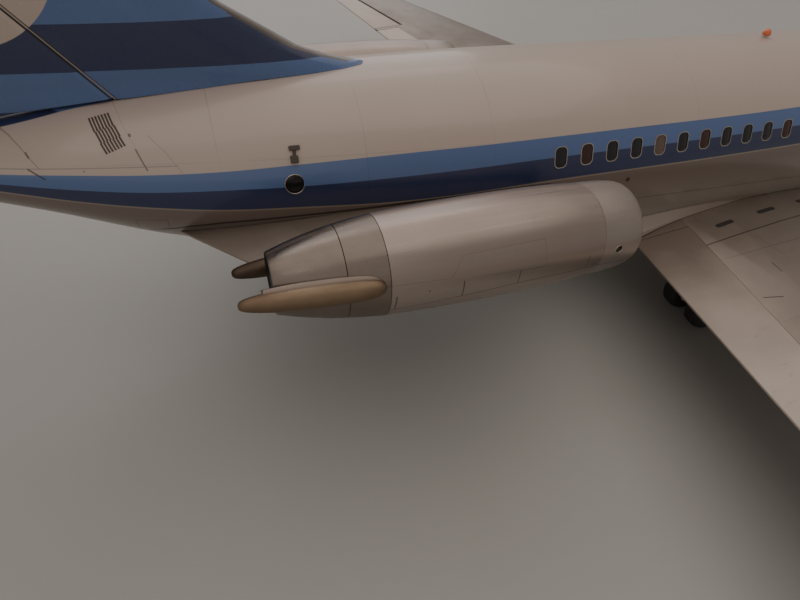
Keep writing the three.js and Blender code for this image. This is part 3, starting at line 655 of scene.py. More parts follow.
def round_port(name, skin, port, place, outward):
    """A recessed dark disc with a thin rim, let into the skin at a place in millimetres."""
    radius, depth, rim = port["radius"], port["depth"], port["rim"]
    cut(skin, rod(f"{name}_hole", place - outward * depth, place + outward * PORT_CUT_OUT, radius))
    back = place - outward * (depth + PORT_GLASS["below"])
    front = place - outward * (depth - PORT_GLASS["above"])
    glass = rod(f"{name}_glass", back, front, radius - PORT_GLASS["gap"], PORT_GLASS["round_off"])
    wear(glass, FINISHES["glass"])
    clear_selection()
    bpy.ops.mesh.primitive_torus_add(
        major_radius=(radius + rim * 0.4) * MM, minor_radius=rim * MM, major_segments=ROUND_SIDES,
        minor_segments=10, location=place * MM, rotation=outward.to_track_quat("Z", "Y").to_euler(),
    )
    ring = settle(bpy.context.active_object, f"{name}_rim")
    smooth(ring, 60)
    wear(ring, FINISHES["metal"])
    mount(glass, "airframe", "dark_glass")
    mount(ring, "airframe", "polished_metal")


def slab(name, corners, low, high):
    """A flat outline of stations and heights, drawn out across the aircraft between two distances."""
    clear_selection()
    bpy.ops.mesh.primitive_circle_add(vertices=len(corners), radius=1)
    piece = settle(bpy.context.active_object, name)
    open_mesh(piece)
    for number, (station, z) in enumerate(corners):
        pick(piece, lambda vertex: vertex.index == number)
        place = Vector((at(station), low * MM, z * MM))
        bpy.ops.transform.translate(value=place - piece.data.vertices[number].co)
    bpy.ops.mesh.select_all(action="SELECT")
    bpy.ops.mesh.edge_face_add()
    bpy.ops.mesh.extrude_region_move(TRANSFORM_OT_translate={"value": (0, (high - low) * MM, 0)})
    close_mesh()
    tidy(piece)
    return piece


def dressed_copy(node, name, round_off):
    """A copy of a CAD node with its loose triangles merged, its edges rounded and its faces smoothed."""
    piece = bpy.data.objects.new(name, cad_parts[node].data.copy())
    piece.data.name = name
    bpy.context.scene.collection.objects.link(piece)
    open_mesh(piece)
    bpy.ops.mesh.select_all(action="SELECT")
    bpy.ops.mesh.remove_doubles(threshold=MERGE_NEAR)
    bpy.ops.mesh.dissolve_limited(angle_limit=math.radians(0.5))
    close_mesh()
    if round_off:
        soften(piece, round_off, angle=38)
    else:
        smooth(piece)
    return piece


def dress(node, name, round_off, finish, body, slot):
    """Dresses a CAD node in its own shape."""
    piece = dressed_copy(node, name, round_off)
    wear(piece, FINISHES[finish])
    mount(piece, body, slot, node)


# Shaders

class Plan:
    """Places nodes in one tree. A socket is linked, and any other value is set."""

    def __init__(self, tree):
        self.tree = tree

    def feed(self, socket, value):
        if isinstance(value, bpy.types.NodeSocket):
            self.tree.links.new(value, socket)
        elif value is not None:
            socket.default_value = value

    def add(self, kind, inputs=None, **settings):
        node = self.tree.nodes.new(kind)
        for key, value in settings.items():
            setattr(node, key, value)
        for key, value in (inputs or {}).items():
            self.feed(node.inputs[key], value)
        return node

    def sum(self, operation, first, second=None):
        inputs = {n: v for n, v in enumerate((first, second)) if v is not None}
        return self.add("ShaderNodeMath", inputs, operation=operation).outputs[0]

    def colours(self, share, first, second):
        return self.add("ShaderNodeMix", {0: share, 6: first, 7: second}, data_type="RGBA").outputs[2]

    def spread(self, value, low, high, new_low=0.0, new_high=1.0):
        inputs = {"Value": value, "From Min": low, "From Max": high, "To Min": new_low, "To Max": new_high}
        return self.add("ShaderNodeMapRange", inputs).outputs[0]

    def place(self):
        return self.add("ShaderNodeTexCoord").outputs["Object"]

    def axes(self, place):
        return self.add("ShaderNodeSeparateXYZ", {0: place}).outputs

    def noise(self, place, scale, detail=3.0, roughness=0.55):
        inputs = {"Vector": place, "Scale": scale, "Detail": detail, "Roughness": roughness}
        return self.add("ShaderNodeTexNoise", inputs).outputs["Fac"]

    def stretched(self, place, scale):
        return self.add("ShaderNodeMapping", {"Vector": place, "Scale": scale}).outputs[0]

    def group(self, name, **inputs):
        node = self.add("ShaderNodeGroup", node_tree=bpy.data.node_groups[name])
        for key, value in inputs.items():
            self.feed(node.inputs[key.replace("_", " ").capitalize()], value)
        return node.outputs

    def vector(self, operation, first, second=None):
        inputs = {n: v for n, v in enumerate((first, second)) if v is not None}
        return self.add("ShaderNodeVectorMath", inputs, operation=operation).outputs

    def drawn(self, flat, lines, lay):
        """How strongly lines mark a flat place. lay turns a line's pair of numbers into a place."""
        total = 0.0
        for width, strength, places in lines:
            for start, end in zip(places, places[1:]):
                ends = {"start": lay(*start), "end": lay(*end)}
                mask = self.group("Stroke", place=flat, width=width * MM, **ends)["Mask"]
                total = self.sum("MAXIMUM", self.sum("MULTIPLY", mask, strength), total)
        return total


def new_group(name, inputs, outputs):
    """An empty node group with named sockets. Returns its plan, its inputs and its output node."""
    tree = bpy.data.node_groups.new(name, "ShaderNodeTree")
    for socket, (kind, default) in inputs.items():
        made = tree.interface.new_socket(name=socket, in_out="INPUT", socket_type=f"NodeSocket{kind}")
        if default is not None:
            made.default_value = default
    for socket, kind in outputs.items():
        tree.interface.new_socket(name=socket, in_out="OUTPUT", socket_type=f"NodeSocket{kind}")
    plan = Plan(tree)
    return plan, plan.add("NodeGroupInput").outputs, plan.add("NodeGroupOutput").inputs


def make_paint_age():
    """Clouded colour, small specks and uneven gloss of an aged paint coat."""
    plan, given, result = new_group(
        "Paint age",
        {
            "Colour": ("Color", (0.8, 0.8, 0.8, 1)), "Amount": ("Float", 0.3),
            "Grime": ("Color", (0.2, 0.17, 0.14, 1)),
        },
        {"Colour": "Color", "Gloss shift": "Float", "Height": "Float"},
    )
    place = plan.place()
    clouds = plan.spread(plan.noise(place, 24, 5), 0.42, 0.78)
    streaks = plan.spread(plan.noise(plan.stretched(place, (14, 14, 120)), 1.6, 4), 0.5, 0.8)
    shares = plan.sum("ADD", plan.sum("MULTIPLY", clouds, 0.5), plan.sum("MULTIPLY", streaks, 0.35))
    dirt = plan.sum("MULTIPLY", shares, given["Amount"])
    share = plan.sum("MINIMUM", dirt, 1.0)
    plan.feed(result["Colour"], plan.colours(share, given["Colour"], given["Grime"]))
    fine = plan.noise(place, 240, 4)
    shift = plan.sum("ADD", plan.spread(fine, 0.3, 0.7, -0.04, 0.06), plan.sum("MULTIPLY", dirt, 0.35))
    plan.feed(result["Gloss shift"], shift)
    plan.feed(result["Height"], plan.sum("ADD", plan.noise(place, 60, 2), plan.sum("MULTIPLY", fine, 0.12)))


def make_stroke():
    """A straight stroke between two places. The mask is 1 on the stroke, and equal places make a dot."""
    plan, given, result = new_group(
        "Stroke",
        {
            "Place": ("Vector", (0, 0, 0)), "Start": ("Vector", (0, 0, 0)), "End": ("Vector", (0.01, 0, 0)),
            "Width": ("Float", 0.0003),
        },
        {"Mask": "Float"},
    )
    from_start = plan.vector("SUBTRACT", given["Place"], given["Start"])[0]
    along = plan.vector("SUBTRACT", given["End"], given["Start"])[0]
    reached = plan.vector("DOT_PRODUCT", from_start, along)["Value"]
    length = plan.vector("DOT_PRODUCT", along, along)["Value"]
    share = plan.sum("MINIMUM", plan.sum("MAXIMUM", plan.sum("DIVIDE", reached, length), 0.0), 1.0)
    nearest = plan.add("ShaderNodeVectorMath", {0: along, "Scale": share}, operation="SCALE").outputs[0]
    away = plan.vector("LENGTH", plan.vector("SUBTRACT", from_start, nearest)[0])["Value"]
    edge = plan.sum("MULTIPLY", given["Width"], 0.62)
    core = plan.sum("MULTIPLY", given["Width"], 0.36)
    plan.feed(result["Mask"], plan.spread(away, edge, core))


def make_seams():
    """Thin lines across one axis, a pitch apart. The mask is 1 on a line."""
    plan, given, result = new_group(
        "Seams",
        {
            "Along": ("Float", 0.0), "Pitch": ("Float", 0.04), "Width": ("Float", 0.0003),
            "Offset": ("Float", 0.0),
        },
        {"Mask": "Float"},
    )
    shifted = plan.sum("ADD", given["Along"], given["Offset"])
    gap = plan.sum("PINGPONG", shifted, plan.sum("MULTIPLY", given["Pitch"], 0.5))
    thick = plan.sum("MULTIPLY", given["Width"], 0.5)
    edge = plan.sum("MULTIPLY", thick, 1.6)
    core = plan.sum("MULTIPLY", thick, 0.6)
    plan.feed(result["Mask"], plan.spread(gap, edge, core))


def make_metal_brush():
    """Fine marks, stains and worn gloss of handled metal."""
    plan, given, result = new_group(
        "Metal brush",
        {
            "Colour": ("Color", (0.6, 0.6, 0.6, 1)), "Stain": ("Color", (0.2, 0.16, 0.12, 1)),
            "Amount": ("Float", 0.3),
        },
        {"Colour": "Color", "Gloss shift": "Float", "Height": "Float"},
    )
    place = plan.place()
    marks = plan.noise(plan.stretched(place, (30, 900, 900)), 1.0, 3)
    stains = plan.spread(plan.noise(place, 46, 6, 0.62), 0.42, 0.74)
    share = plan.sum("MULTIPLY", stains, given["Amount"])
    plan.feed(result["Colour"], plan.colours(share, given["Colour"], given["Stain"]))
    shift = plan.sum("ADD", plan.spread(marks, 0.3, 0.7, -0.05, 0.08), plan.sum("MULTIPLY", share, 0.3))
    plan.feed(result["Gloss shift"], shift)
    plan.feed(result["Height"], marks)


def new_finish(name, roughness, metallic=0.0, coat=0.0):
    """A material with a Principled shader and its own plan. Constants are set on the shader."""
    material = bpy.data.materials.new(name)
    material.use_nodes = True
    plan = Plan(material.node_tree)
    shader = material.node_tree.nodes["Principled BSDF"]
    for key, value in (("Roughness", roughness), ("Metallic", metallic), ("Coat Weight", coat)):
        plan.feed(shader.inputs[key], value)
    return material, plan, shader


def bump(plan, shader, height, strength, distance=0.0002):
    node = plan.add("ShaderNodeBump", {"Height": height, "Strength": strength, "Distance": distance})
    plan.feed(shader.inputs["Normal"], node.outputs[0])


def curve(plan, share, points, handle):
    """A curve through points from 0 to 1, read at a share from 0 to 1."""
    node = plan.add("ShaderNodeFloatCurve", {"Factor": 1.0, "Value": share})
    line = node.mapping.curves[0]
    line.points[0].location = points[0]
    line.points[1].location = points[-1]
    for point in points[1:-1]:
        line.points.new(*point)
    for point in line.points:
        point.handle_type = handle
    node.mapping.update()
    return node.outputs[0]


def level(plan, value, places):
    """A curve over stations, read in metres of X. Its places hold a station and a height in millimetres."""
    share = plan.spread(value, at(0), at(BODY_LENGTH))
    points = [(station / BODY_LENGTH, height / CURVE_HEIGHT) for station, height in places]
    return plan.sum("MULTIPLY", curve(plan, share, points, "AUTO"), CURVE_HEIGHT * MM)


def colour(values):
    return (*values, 1.0)


class AirlinerColours(bpy.types.PropertyGroup):
    """The paints and metals of the model."""
    cream: bpy.props.FloatVectorProperty(
        name="Cream", description="Paint of the upper fuselage", subtype="COLOR",
        default=(0.532, 0.443, 0.387), min=0, max=1,
    )
    light_blue: bpy.props.FloatVectorProperty(
        name="Light blue", description="Upper band of the livery", subtype="COLOR",
        default=(0.100, 0.170, 0.365), min=0, max=1,
    )
    navy: bpy.props.FloatVectorProperty(
        name="Navy", description="Lower band of the livery", subtype="COLOR",
        default=(0.024, 0.036, 0.102), min=0, max=1,
    )
    silver: bpy.props.FloatVectorProperty(
        name="Silver", description="Metallic paint of belly and tailplane", subtype="COLOR",
        default=(0.50, 0.465, 0.425), min=0, max=1,
    )
    under_band: bpy.props.FloatVectorProperty(
        name="Under the bands", description="Darker paint just below the livery", subtype="COLOR",
        default=(0.22, 0.175, 0.155), min=0, max=1,
    )
    wing: bpy.props.FloatVectorProperty(
        name="Wing", description="Metallic paint of the wing's rear half", subtype="COLOR",
        default=(0.34, 0.285, 0.245), min=0, max=1,
    )
    wing_front: bpy.props.FloatVectorProperty(
        name="Wing front", description="Metallic paint of the wing's front half", subtype="COLOR",
        default=(0.28, 0.24, 0.21), min=0, max=1,
    )
    metal: bpy.props.FloatVectorProperty(
        name="Polished metal", description="Bare metal of nozzles and rims", subtype="COLOR",
        default=(0.56, 0.51, 0.47), min=0, max=1,
    )
    bronze: bpy.props.FloatVectorProperty(
        name="Bronze", description="Side fairings of the reversers", subtype="COLOR",
        default=(0.265, 0.196, 0.128), min=0, max=1,
    )
    floor: bpy.props.FloatVectorProperty(
        name="Floor", description="The plain floor", subtype="COLOR",
        default=(0.44, 0.44, 0.42), min=0, max=1,
    )


class AirlinerSizes(bpy.types.PropertyGroup):
    """Sizes of the fine detail that the dressing adds."""
    window_height: bpy.props.FloatProperty(
        name="Window height", description="Height of a cabin window's glass", unit="LENGTH",
        default=6.1 * MM, min=0.001,
    )
    window_width: bpy.props.FloatProperty(
        name="Window width", description="Width of a cabin window's glass", unit="LENGTH",
        default=4.1 * MM, min=0.001,
    )
    window_rim: bpy.props.FloatProperty(
        name="Window rim", description="Width of the bright frame around the glass", unit="LENGTH",
        default=0.28 * MM, min=0.0001,
    )
    seam_width: bpy.props.FloatProperty(
        name="Seam width", description="Width of the skin's panel lines", unit="LENGTH",
        default=0.22 * MM, min=0.00005,
    )


def settings():
    return bpy.context.scene.airliner_sizes


# Tones of lines, worn places and dirt, and of the painted shade on the flap
DARK_LINE = (0.022, 0.017, 0.015, 1)
RED_LINE = (0.20, 0.05, 0.04, 1)
PALE_EDGE = (0.33, 0.28, 0.24, 1)
BARE_EDGE = (0.13, 0.115, 0.105, 1)
# The flap from root to tip: painted shade and a painted brown reflection of the nacelle at the root, fading
# out to the flap's pale paint
FLAP_ROOT_SHADE = (0.21, 0.165, 0.135, 1)
FLAP_MIDDLE = (0.36, 0.295, 0.25, 1)
FLAP_OUTER = (0.56, 0.48, 0.42, 1)
FLAP_SCUFF = (0.16, 0.125, 0.10, 1)
BODY_GRIME = (0.14, 0.11, 0.09, 1)
FIN_GRIME = (0.08, 0.075, 0.07, 1)
WING_GRIME = (0.07, 0.055, 0.045, 1)
FLAP_GRIME = (0.13, 0.1, 0.08, 1)
PAINT_GRIME = (0.16, 0.13, 0.11, 1)
METAL_STAIN = (0.2, 0.16, 0.12, 1)

# Half the width over which one paint turns into the next, in metres
PAINT_EDGE = 0.00006
# How far the pale edge goes below the dark band, in metres
PALE_EDGE_DROP = 0.0005
# Panel seams in metres: pitch and offset, then the width of the wing's lengthwise lines
BODY_RINGS = {"pitch": 0.0386, "offset": 0.0095}
BODY_LANES = {"pitch": 0.0302, "offset": 0.0152}
WING_RIBS = {"pitch": 0.031, "offset": 0.004}
WING_SPAR_LINE = 0.00013
# Distance out from which the wing's seams show, and where its dark trailing edge line fades, ahead of the
# trailing edge
WING_SEAMS_FROM = 0.05
TRAILING_EDGE_LINE = (0.0008, 0.0004)
# Distances out over which the flap's painted shade fades into its pale paint, and its scuffs grow
FLAP_TO_MIDDLE = (0.046, 0.070)
FLAP_TO_OUTER = (0.070, 0.105)
FLAP_SCUFFS_GROW = (0.07, 0.11)

# Bands, disc and bare strip of the fin, in millimetres
FIN_BAND = 10.8
FIN_BAND_START = 93.3
FIN_DISC = {"station": 531, "z": 123.9, "radius": 24.95}
FIN_STRIP = {"width": 2.3, "start": 91.6}
# Lines beside the rudder's gap, the two dark ones painted shadow in the gap with a pale line between them:
# middle ahead of the fin's rear rim, half width and colour
FIN_RIM_LINES = (
    (0.5, 0.13, DARK_LINE),
    (0.2, 0.17, (0.36, 0.30, 0.25, 1)),
    (-0.35, 0.22, (0.010, 0.010, 0.012, 1)),
)
# Window of the curve that holds the fin's leading edge: heights and stations in millimetres
FIN_CURVE_Z = (60, 170)
FIN_CURVE_STATIONS = (400, 550)
FIN_EDGE_END = 541
# The strip's uneven edge in metres: step up the fin, and how far it goes either way
STRIP_STEP = 0.0035
STRIP_JAG = 0.0007


def livery_finish():
    """Cream, light blue and navy bands over a silver belly, by station and height."""
    paints = bpy.context.scene.airliner_colours
    material, plan, shader = new_finish("body_livery", 0.3, coat=0.3)
    place = plan.place()
    axes = plan.axes(place)
    top, split, bottom = [
        level(plan, axes[0], [(row[0], row[column]) for row in LIVERY_EDGES]) for column in (1, 2, 3)
    ]

    def above(border):
        return plan.spread(plan.sum("SUBTRACT", axes[2], border), -PAINT_EDGE, PAINT_EDGE)

    under = plan.spread(axes[2], *[height * MM for height in UNDER_BAND_FADE])
    belly = plan.colours(under, colour(paints.silver), colour(paints.under_band))
    pale = above(plan.sum("SUBTRACT", bottom, PALE_EDGE_DROP))
    tone = plan.colours(pale, belly, PALE_EDGE)
    tone = plan.colours(above(bottom), tone, colour(paints.navy))
    tone = plan.colours(above(split), tone, colour(paints.light_blue))
    tone = plan.colours(above(top), tone, colour(paints.cream))
    crown = level(plan, axes[0], CROWN_PAINT)
    near = plan.spread(plan.sum("SUBTRACT", crown, plan.sum("ABSOLUTE", axes[1])), -PAINT_EDGE, PAINT_EDGE)
    near = plan.sum("MULTIPLY", near, above(top))
    crown_tone = plan.colours(above(CROWN_PAINT_SPLIT * MM), colour(paints.navy), colour(paints.light_blue))
    tone = plan.colours(near, tone, crown_tone)
    aged = plan.group("Paint age", colour=tone, amount=0.13, grime=BODY_GRIME)
    rings = plan.group("Seams", along=axes[0], width=settings().seam_width, **BODY_RINGS)
    lanes = plan.group("Seams", along=axes[2], width=settings().seam_width, **BODY_LANES)
    seams = plan.sum("MAXIMUM", rings["Mask"], plan.sum("MULTIPLY", lanes["Mask"], 0.7))
    faint = plan.sum("MULTIPLY", seams, plan.spread(plan.noise(place, 24), 0.42, 0.66, 0.0, 0.22))
    flat = plan.vector("MULTIPLY", place, (1, 0, 1))[0]
    drawn = plan.drawn(flat, BODY_LINES, lambda station, z: (at(station), 0, z * MM))
    marks = plan.sum("MAXIMUM", faint, drawn)
    tone = plan.colours(marks, aged["Colour"], DARK_LINE)
    red = plan.drawn(flat, RED_LINES, lambda station, z: (at(station), 0, z * MM))
    tone = plan.colours(red, tone, RED_LINE)
    plan.feed(shader.inputs["Base Color"], tone)
    gloss = plan.sum("MULTIPLY", aged["Gloss shift"], 0.4)
    plan.feed(shader.inputs["Roughness"], plan.sum("ADD", gloss, 0.29))
    is_belly = plan.sum("SUBTRACT", 1.0, above(bottom))
    plan.feed(shader.inputs["Metallic"], plan.sum("MULTIPLY", is_belly, 0.4))
    ripple = plan.sum("MULTIPLY", aged["Height"], 0.003)
    bump(plan, shader, plan.sum("SUBTRACT", ripple, plan.sum("MAXIMUM", seams, drawn)), 0.06)
    return material


def band_finish():
    """Level light blue and navy bands with a plain pale disc, a bare leading edge and painted shadow along
    the rudder's gap.
    """
    paints = bpy.context.scene.airliner_colours
    material, plan, shader = new_finish("fin_livery", 0.3, coat=0.3)
    place = plan.place()
    axes = plan.axes(place)
    period = 2 * FIN_BAND * MM
    from_edge = plan.sum("SUBTRACT", axes[2], FIN_BAND_START * MM - period)
    dark = plan.sum("LESS_THAN", plan.sum("MODULO", from_edge, period), FIN_BAND * MM)
    dark = plan.sum("MAXIMUM", dark, plan.sum("LESS_THAN", axes[2], CROWN_PAINT_SPLIT * MM))
    tone = plan.colours(dark, colour(paints.light_blue), colour(paints.navy))
    away = plan.vector("SUBTRACT", place, (at(FIN_DISC["station"]), 0, FIN_DISC["z"] * MM))[0]
    reach = plan.vector("LENGTH", plan.vector("MULTIPLY", away, (1, 0, 1))[0])["Value"]
    disc = plan.spread(reach, FIN_DISC["radius"] * MM + PAINT_EDGE, FIN_DISC["radius"] * MM - PAINT_EDGE)
    tone = plan.colours(disc, tone, colour(paints.cream))
    aged = plan.group("Paint age", colour=tone, amount=0.28, grime=FIN_GRIME)
    low_z, high_z = FIN_CURVE_Z
    first, last = FIN_CURVE_STATIONS
    shares = [
        ((z - low_z) / (high_z - low_z), (station - first) / (last - first))
        for z, station in [(low_z, first), *FIN_EDGE, (high_z, FIN_EDGE_END)]
    ]
    edge_share = plan.spread(axes[2], low_z * MM, high_z * MM)
    leading = curve(plan, edge_share, shares, "VECTOR")
    leading = plan.spread(leading, 0.0, 1.0, at(first), at(last))
    steps = plan.sum("SNAP", axes[2], STRIP_STEP)
    jag = plan.noise(plan.add("ShaderNodeCombineXYZ", {2: steps}).outputs[0], 900, 0)
    jag = plan.spread(jag, 0.3, 0.7, -STRIP_JAG, STRIP_JAG)
    behind = plan.sum("SUBTRACT", plan.sum("SUBTRACT", leading, axes[0]), jag)
    strip = plan.spread(behind, FIN_STRIP["width"] * MM + PAINT_EDGE, FIN_STRIP["width"] * MM - PAINT_EDGE)
    strip = plan.sum("MULTIPLY", strip, plan.sum("GREATER_THAN", axes[2], FIN_STRIP["start"] * MM))
    tone = plan.colours(strip, aged["Colour"], BARE_EDGE)
    lean = plan.sum("MULTIPLY", plan.sum("SUBTRACT", axes[2], FIN_BASE_Z * MM), -HINGE_SLOPE)
    ahead = plan.sum("SUBTRACT", axes[0], plan.sum("ADD", lean, at(HINGE_AT_BASE)))
    ahead = plan.sum("DIVIDE", ahead, math.hypot(1, HINGE_SLOPE))
    # Painted shadow in the rudder's gap, over the real groove, with a pale line between its two dark lines
    for middle, width, rim_tone in FIN_RIM_LINES:
        off = plan.sum("ABSOLUTE", plan.sum("SUBTRACT", ahead, (FIN_WALL_REACH + middle) * MM))
        tone = plan.colours(plan.spread(off, width * MM, 0.7 * width * MM), tone, rim_tone)
    plan.feed(shader.inputs["Base Color"], tone)
    plan.feed(shader.inputs["Metallic"], plan.sum("MULTIPLY", strip, 0.6))
    plan.feed(shader.inputs["Roughness"], plan.sum("ADD", aged["Gloss shift"], 0.24))
    bump(plan, shader, plan.sum("SUBTRACT", plan.sum("MULTIPLY", aged["Height"], 0.05), strip), 0.1)
    return material


def wing_finish():
    """Metallic paint, darker in front, with panel lines, a dark line along the trailing edge and painted
    shade behind the flap line at the root.
    """
    paints = bpy.context.scene.airliner_colours
    material, plan, shader = new_finish("wing_silver", 0.4)
    place = plan.place()
    axes = plan.axes(place)
    out = plan.sum("ABSOLUTE", axes[1])
    sweep = plan.sum("MULTIPLY", out, -WING_ROOT["sweep"])
    behind = plan.sum("SUBTRACT", plan.sum("ADD", sweep, at(WING_ROOT["leading"])), axes[0])
    taper = WING_ROOT["trailing_sweep"] - WING_ROOT["sweep"]
    root_chord = (WING_ROOT["trailing"] - WING_ROOT["leading"]) * MM
    chord = plan.sum("ADD", plan.sum("MULTIPLY", out, taper), root_chord)
    share = plan.sum("DIVIDE", behind, chord)
    tone = plan.colours(plan.spread(share, 0.25, 0.7), colour(paints.wing_front), colour(paints.wing))
    # The wing behind the flap line, inboard of the flap, takes the painted shade of the flap's root
    is_rear = plan.sum("GREATER_THAN", share, FLAP_START)
    is_inner = plan.sum("LESS_THAN", out, FLAP_INNER_OUT * MM)
    is_flap = plan.sum("MULTIPLY", is_rear, is_inner)
    tone = plan.colours(is_flap, tone, FLAP_ROOT_SHADE)
    aged = plan.group("Paint age", colour=tone, amount=0.6, grime=WING_GRIME)
    chord_line = plan.sum("PINGPONG", plan.sum("ADD", share, 0.1), 0.24)
    line_width = plan.sum("DIVIDE", WING_SPAR_LINE, chord)
    edge = plan.sum("MULTIPLY", line_width, 1.5)
    core = plan.sum("MULTIPLY", line_width, 0.5)
    spar = plan.spread(chord_line, edge, core)
    ribs = plan.group("Seams", along=out, width=settings().seam_width, **WING_RIBS)["Mask"]
    outboard = plan.sum("GREATER_THAN", out, WING_SEAMS_FROM)
    seams = plan.sum("MULTIPLY", plan.sum("MAXIMUM", spar, ribs), plan.sum("MULTIPLY", outboard, 0.4))
    seams = plan.sum("MULTIPLY", seams, plan.spread(plan.noise(place, 20), 0.4, 0.6, 0.2, 1.0))
    flat = plan.add("ShaderNodeCombineXYZ", {0: axes[0], 1: out}).outputs[0]
    drawn = plan.drawn(flat, WING_LINES, lambda station, far: (at(station), far * MM, 0))
    marks = plan.sum("MAXIMUM", seams, drawn)
    # A dark line along the last part of the chord before the trailing edge
    rear = plan.sum("SUBTRACT", 1.0, share)
    trailing_edge_line = plan.spread(plan.sum("MULTIPLY", rear, chord), *TRAILING_EDGE_LINE)
    marks = plan.sum("MAXIMUM", marks, plan.sum("MULTIPLY", trailing_edge_line, 0.6))
    plan.feed(shader.inputs["Base Color"], plan.colours(marks, aged["Colour"], DARK_LINE))
    plan.feed(shader.inputs["Metallic"], plan.spread(is_flap, 0.0, 1.0, 0.5, 0.15))
    plan.feed(shader.inputs["Roughness"], plan.sum("ADD", aged["Gloss shift"], 0.38))
    height = plan.sum("SUBTRACT", plan.sum("MULTIPLY", aged["Height"], 0.05), marks)
    bump(plan, shader, height, 0.14)
    return material


def flap_finish():
    """Pale scuffed paint, turned brown towards the root by painted shade and a painted reflection of the
    nacelle.
    """
    material, plan, shader = new_finish("flap_paint", 0.42)
    place = plan.place()
    out = plan.sum("ABSOLUTE", plan.axes(place)[1])
    edge = plan.sum("ADD", out, plan.spread(plan.noise(place, 60, 4), 0.3, 0.7, -0.008, 0.008))
    tone = plan.colours(plan.spread(edge, *FLAP_TO_MIDDLE), FLAP_ROOT_SHADE, FLAP_MIDDLE)
    tone = plan.colours(plan.spread(edge, *FLAP_TO_OUTER), tone, FLAP_OUTER)
    scuffs = plan.spread(plan.noise(plan.stretched(place, (90, 260, 90)), 3.0, 5, 0.7), 0.60, 0.74)
    scuffs = plan.sum("MULTIPLY", scuffs, plan.spread(out, *FLAP_SCUFFS_GROW, 0.05, 0.5))
    aged = plan.group("Paint age", colour=tone, amount=0.35, grime=FLAP_GRIME)
    plan.feed(shader.inputs["Base Color"], plan.colours(scuffs, aged["Colour"], FLAP_SCUFF))
    plan.feed(shader.inputs["Metallic"], plan.spread(scuffs, 0.0, 1.0, 0.12, 0.3))
    plan.feed(shader.inputs["Roughness"], plan.sum("ADD", aged["Gloss shift"], 0.42))
    bump(plan, shader, aged["Height"], 0.08, 0.00005)
    return material


def nacelle_finish(name, base, roughness, metallic, amount, stain):
    """A pale satin metal skin with fine joints and short marks along each nacelle."""
    material, plan, shader = new_finish(name, roughness)
    place = plan.place()
    axes = plan.axes(place)
    out = plan.sum("SUBTRACT", plan.sum("ABSOLUTE", axes[1]), NACELLE_OUT * MM)
    up = plan.sum("SUBTRACT", axes[2], NACELLE_Z * MM)
    arc = plan.sum("MULTIPLY", plan.sum("ARCTAN2", up, out), NACELLE_ARC_RADIUS * MM)
    flat = plan.add("ShaderNodeCombineXYZ", {0: axes[0], 1: arc}).outputs[0]
    drawn = plan.drawn(flat, NACELLE_LINES, lambda station, along: (at(station), along * MM, 0))
    brushed = plan.group("Metal brush", colour=colour(base), stain=stain, amount=amount)
    plan.feed(shader.inputs["Base Color"], plan.colours(drawn, brushed["Colour"], DARK_LINE))
    plan.feed(shader.inputs["Metallic"], plan.spread(drawn, 0.0, 1.0, metallic, 0.1))
    plan.feed(shader.inputs["Roughness"], plan.sum("ADD", brushed["Gloss shift"], roughness))
    bump(plan, shader, plan.sum("SUBTRACT", plan.sum("MULTIPLY", brushed["Height"], 0.03), drawn), 0.1)
    return material


def painted_finish(
    name, base, roughness, metallic=0.0, coat=0.0, amount=0.3, grime=PAINT_GRIME, depth=0.12,
):
    """A plain aged paint."""
    material, plan, shader = new_finish(name, roughness, metallic, coat)
    aged = plan.group("Paint age", colour=colour(base), amount=amount, grime=grime)
    plan.feed(shader.inputs["Base Color"], aged["Colour"])
    plan.feed(shader.inputs["Roughness"], plan.sum("ADD", aged["Gloss shift"], roughness))
    bump(plan, shader, aged["Height"], depth, 0.00005)
    return material


def metal_finish(name, base, roughness, stain=METAL_STAIN, amount=0.4):
    """A plain handled metal."""
    material, plan, shader = new_finish(name, roughness, 1.0)
    brushed = plan.group("Metal brush", colour=colour(base), stain=stain, amount=amount)
    plan.feed(shader.inputs["Base Color"], brushed["Colour"])
    plan.feed(shader.inputs["Roughness"], plan.sum("ADD", brushed["Gloss shift"], roughness))
    bump(plan, shader, brushed["Height"], 0.15, 0.00003)
    return material


FINISHES = {}


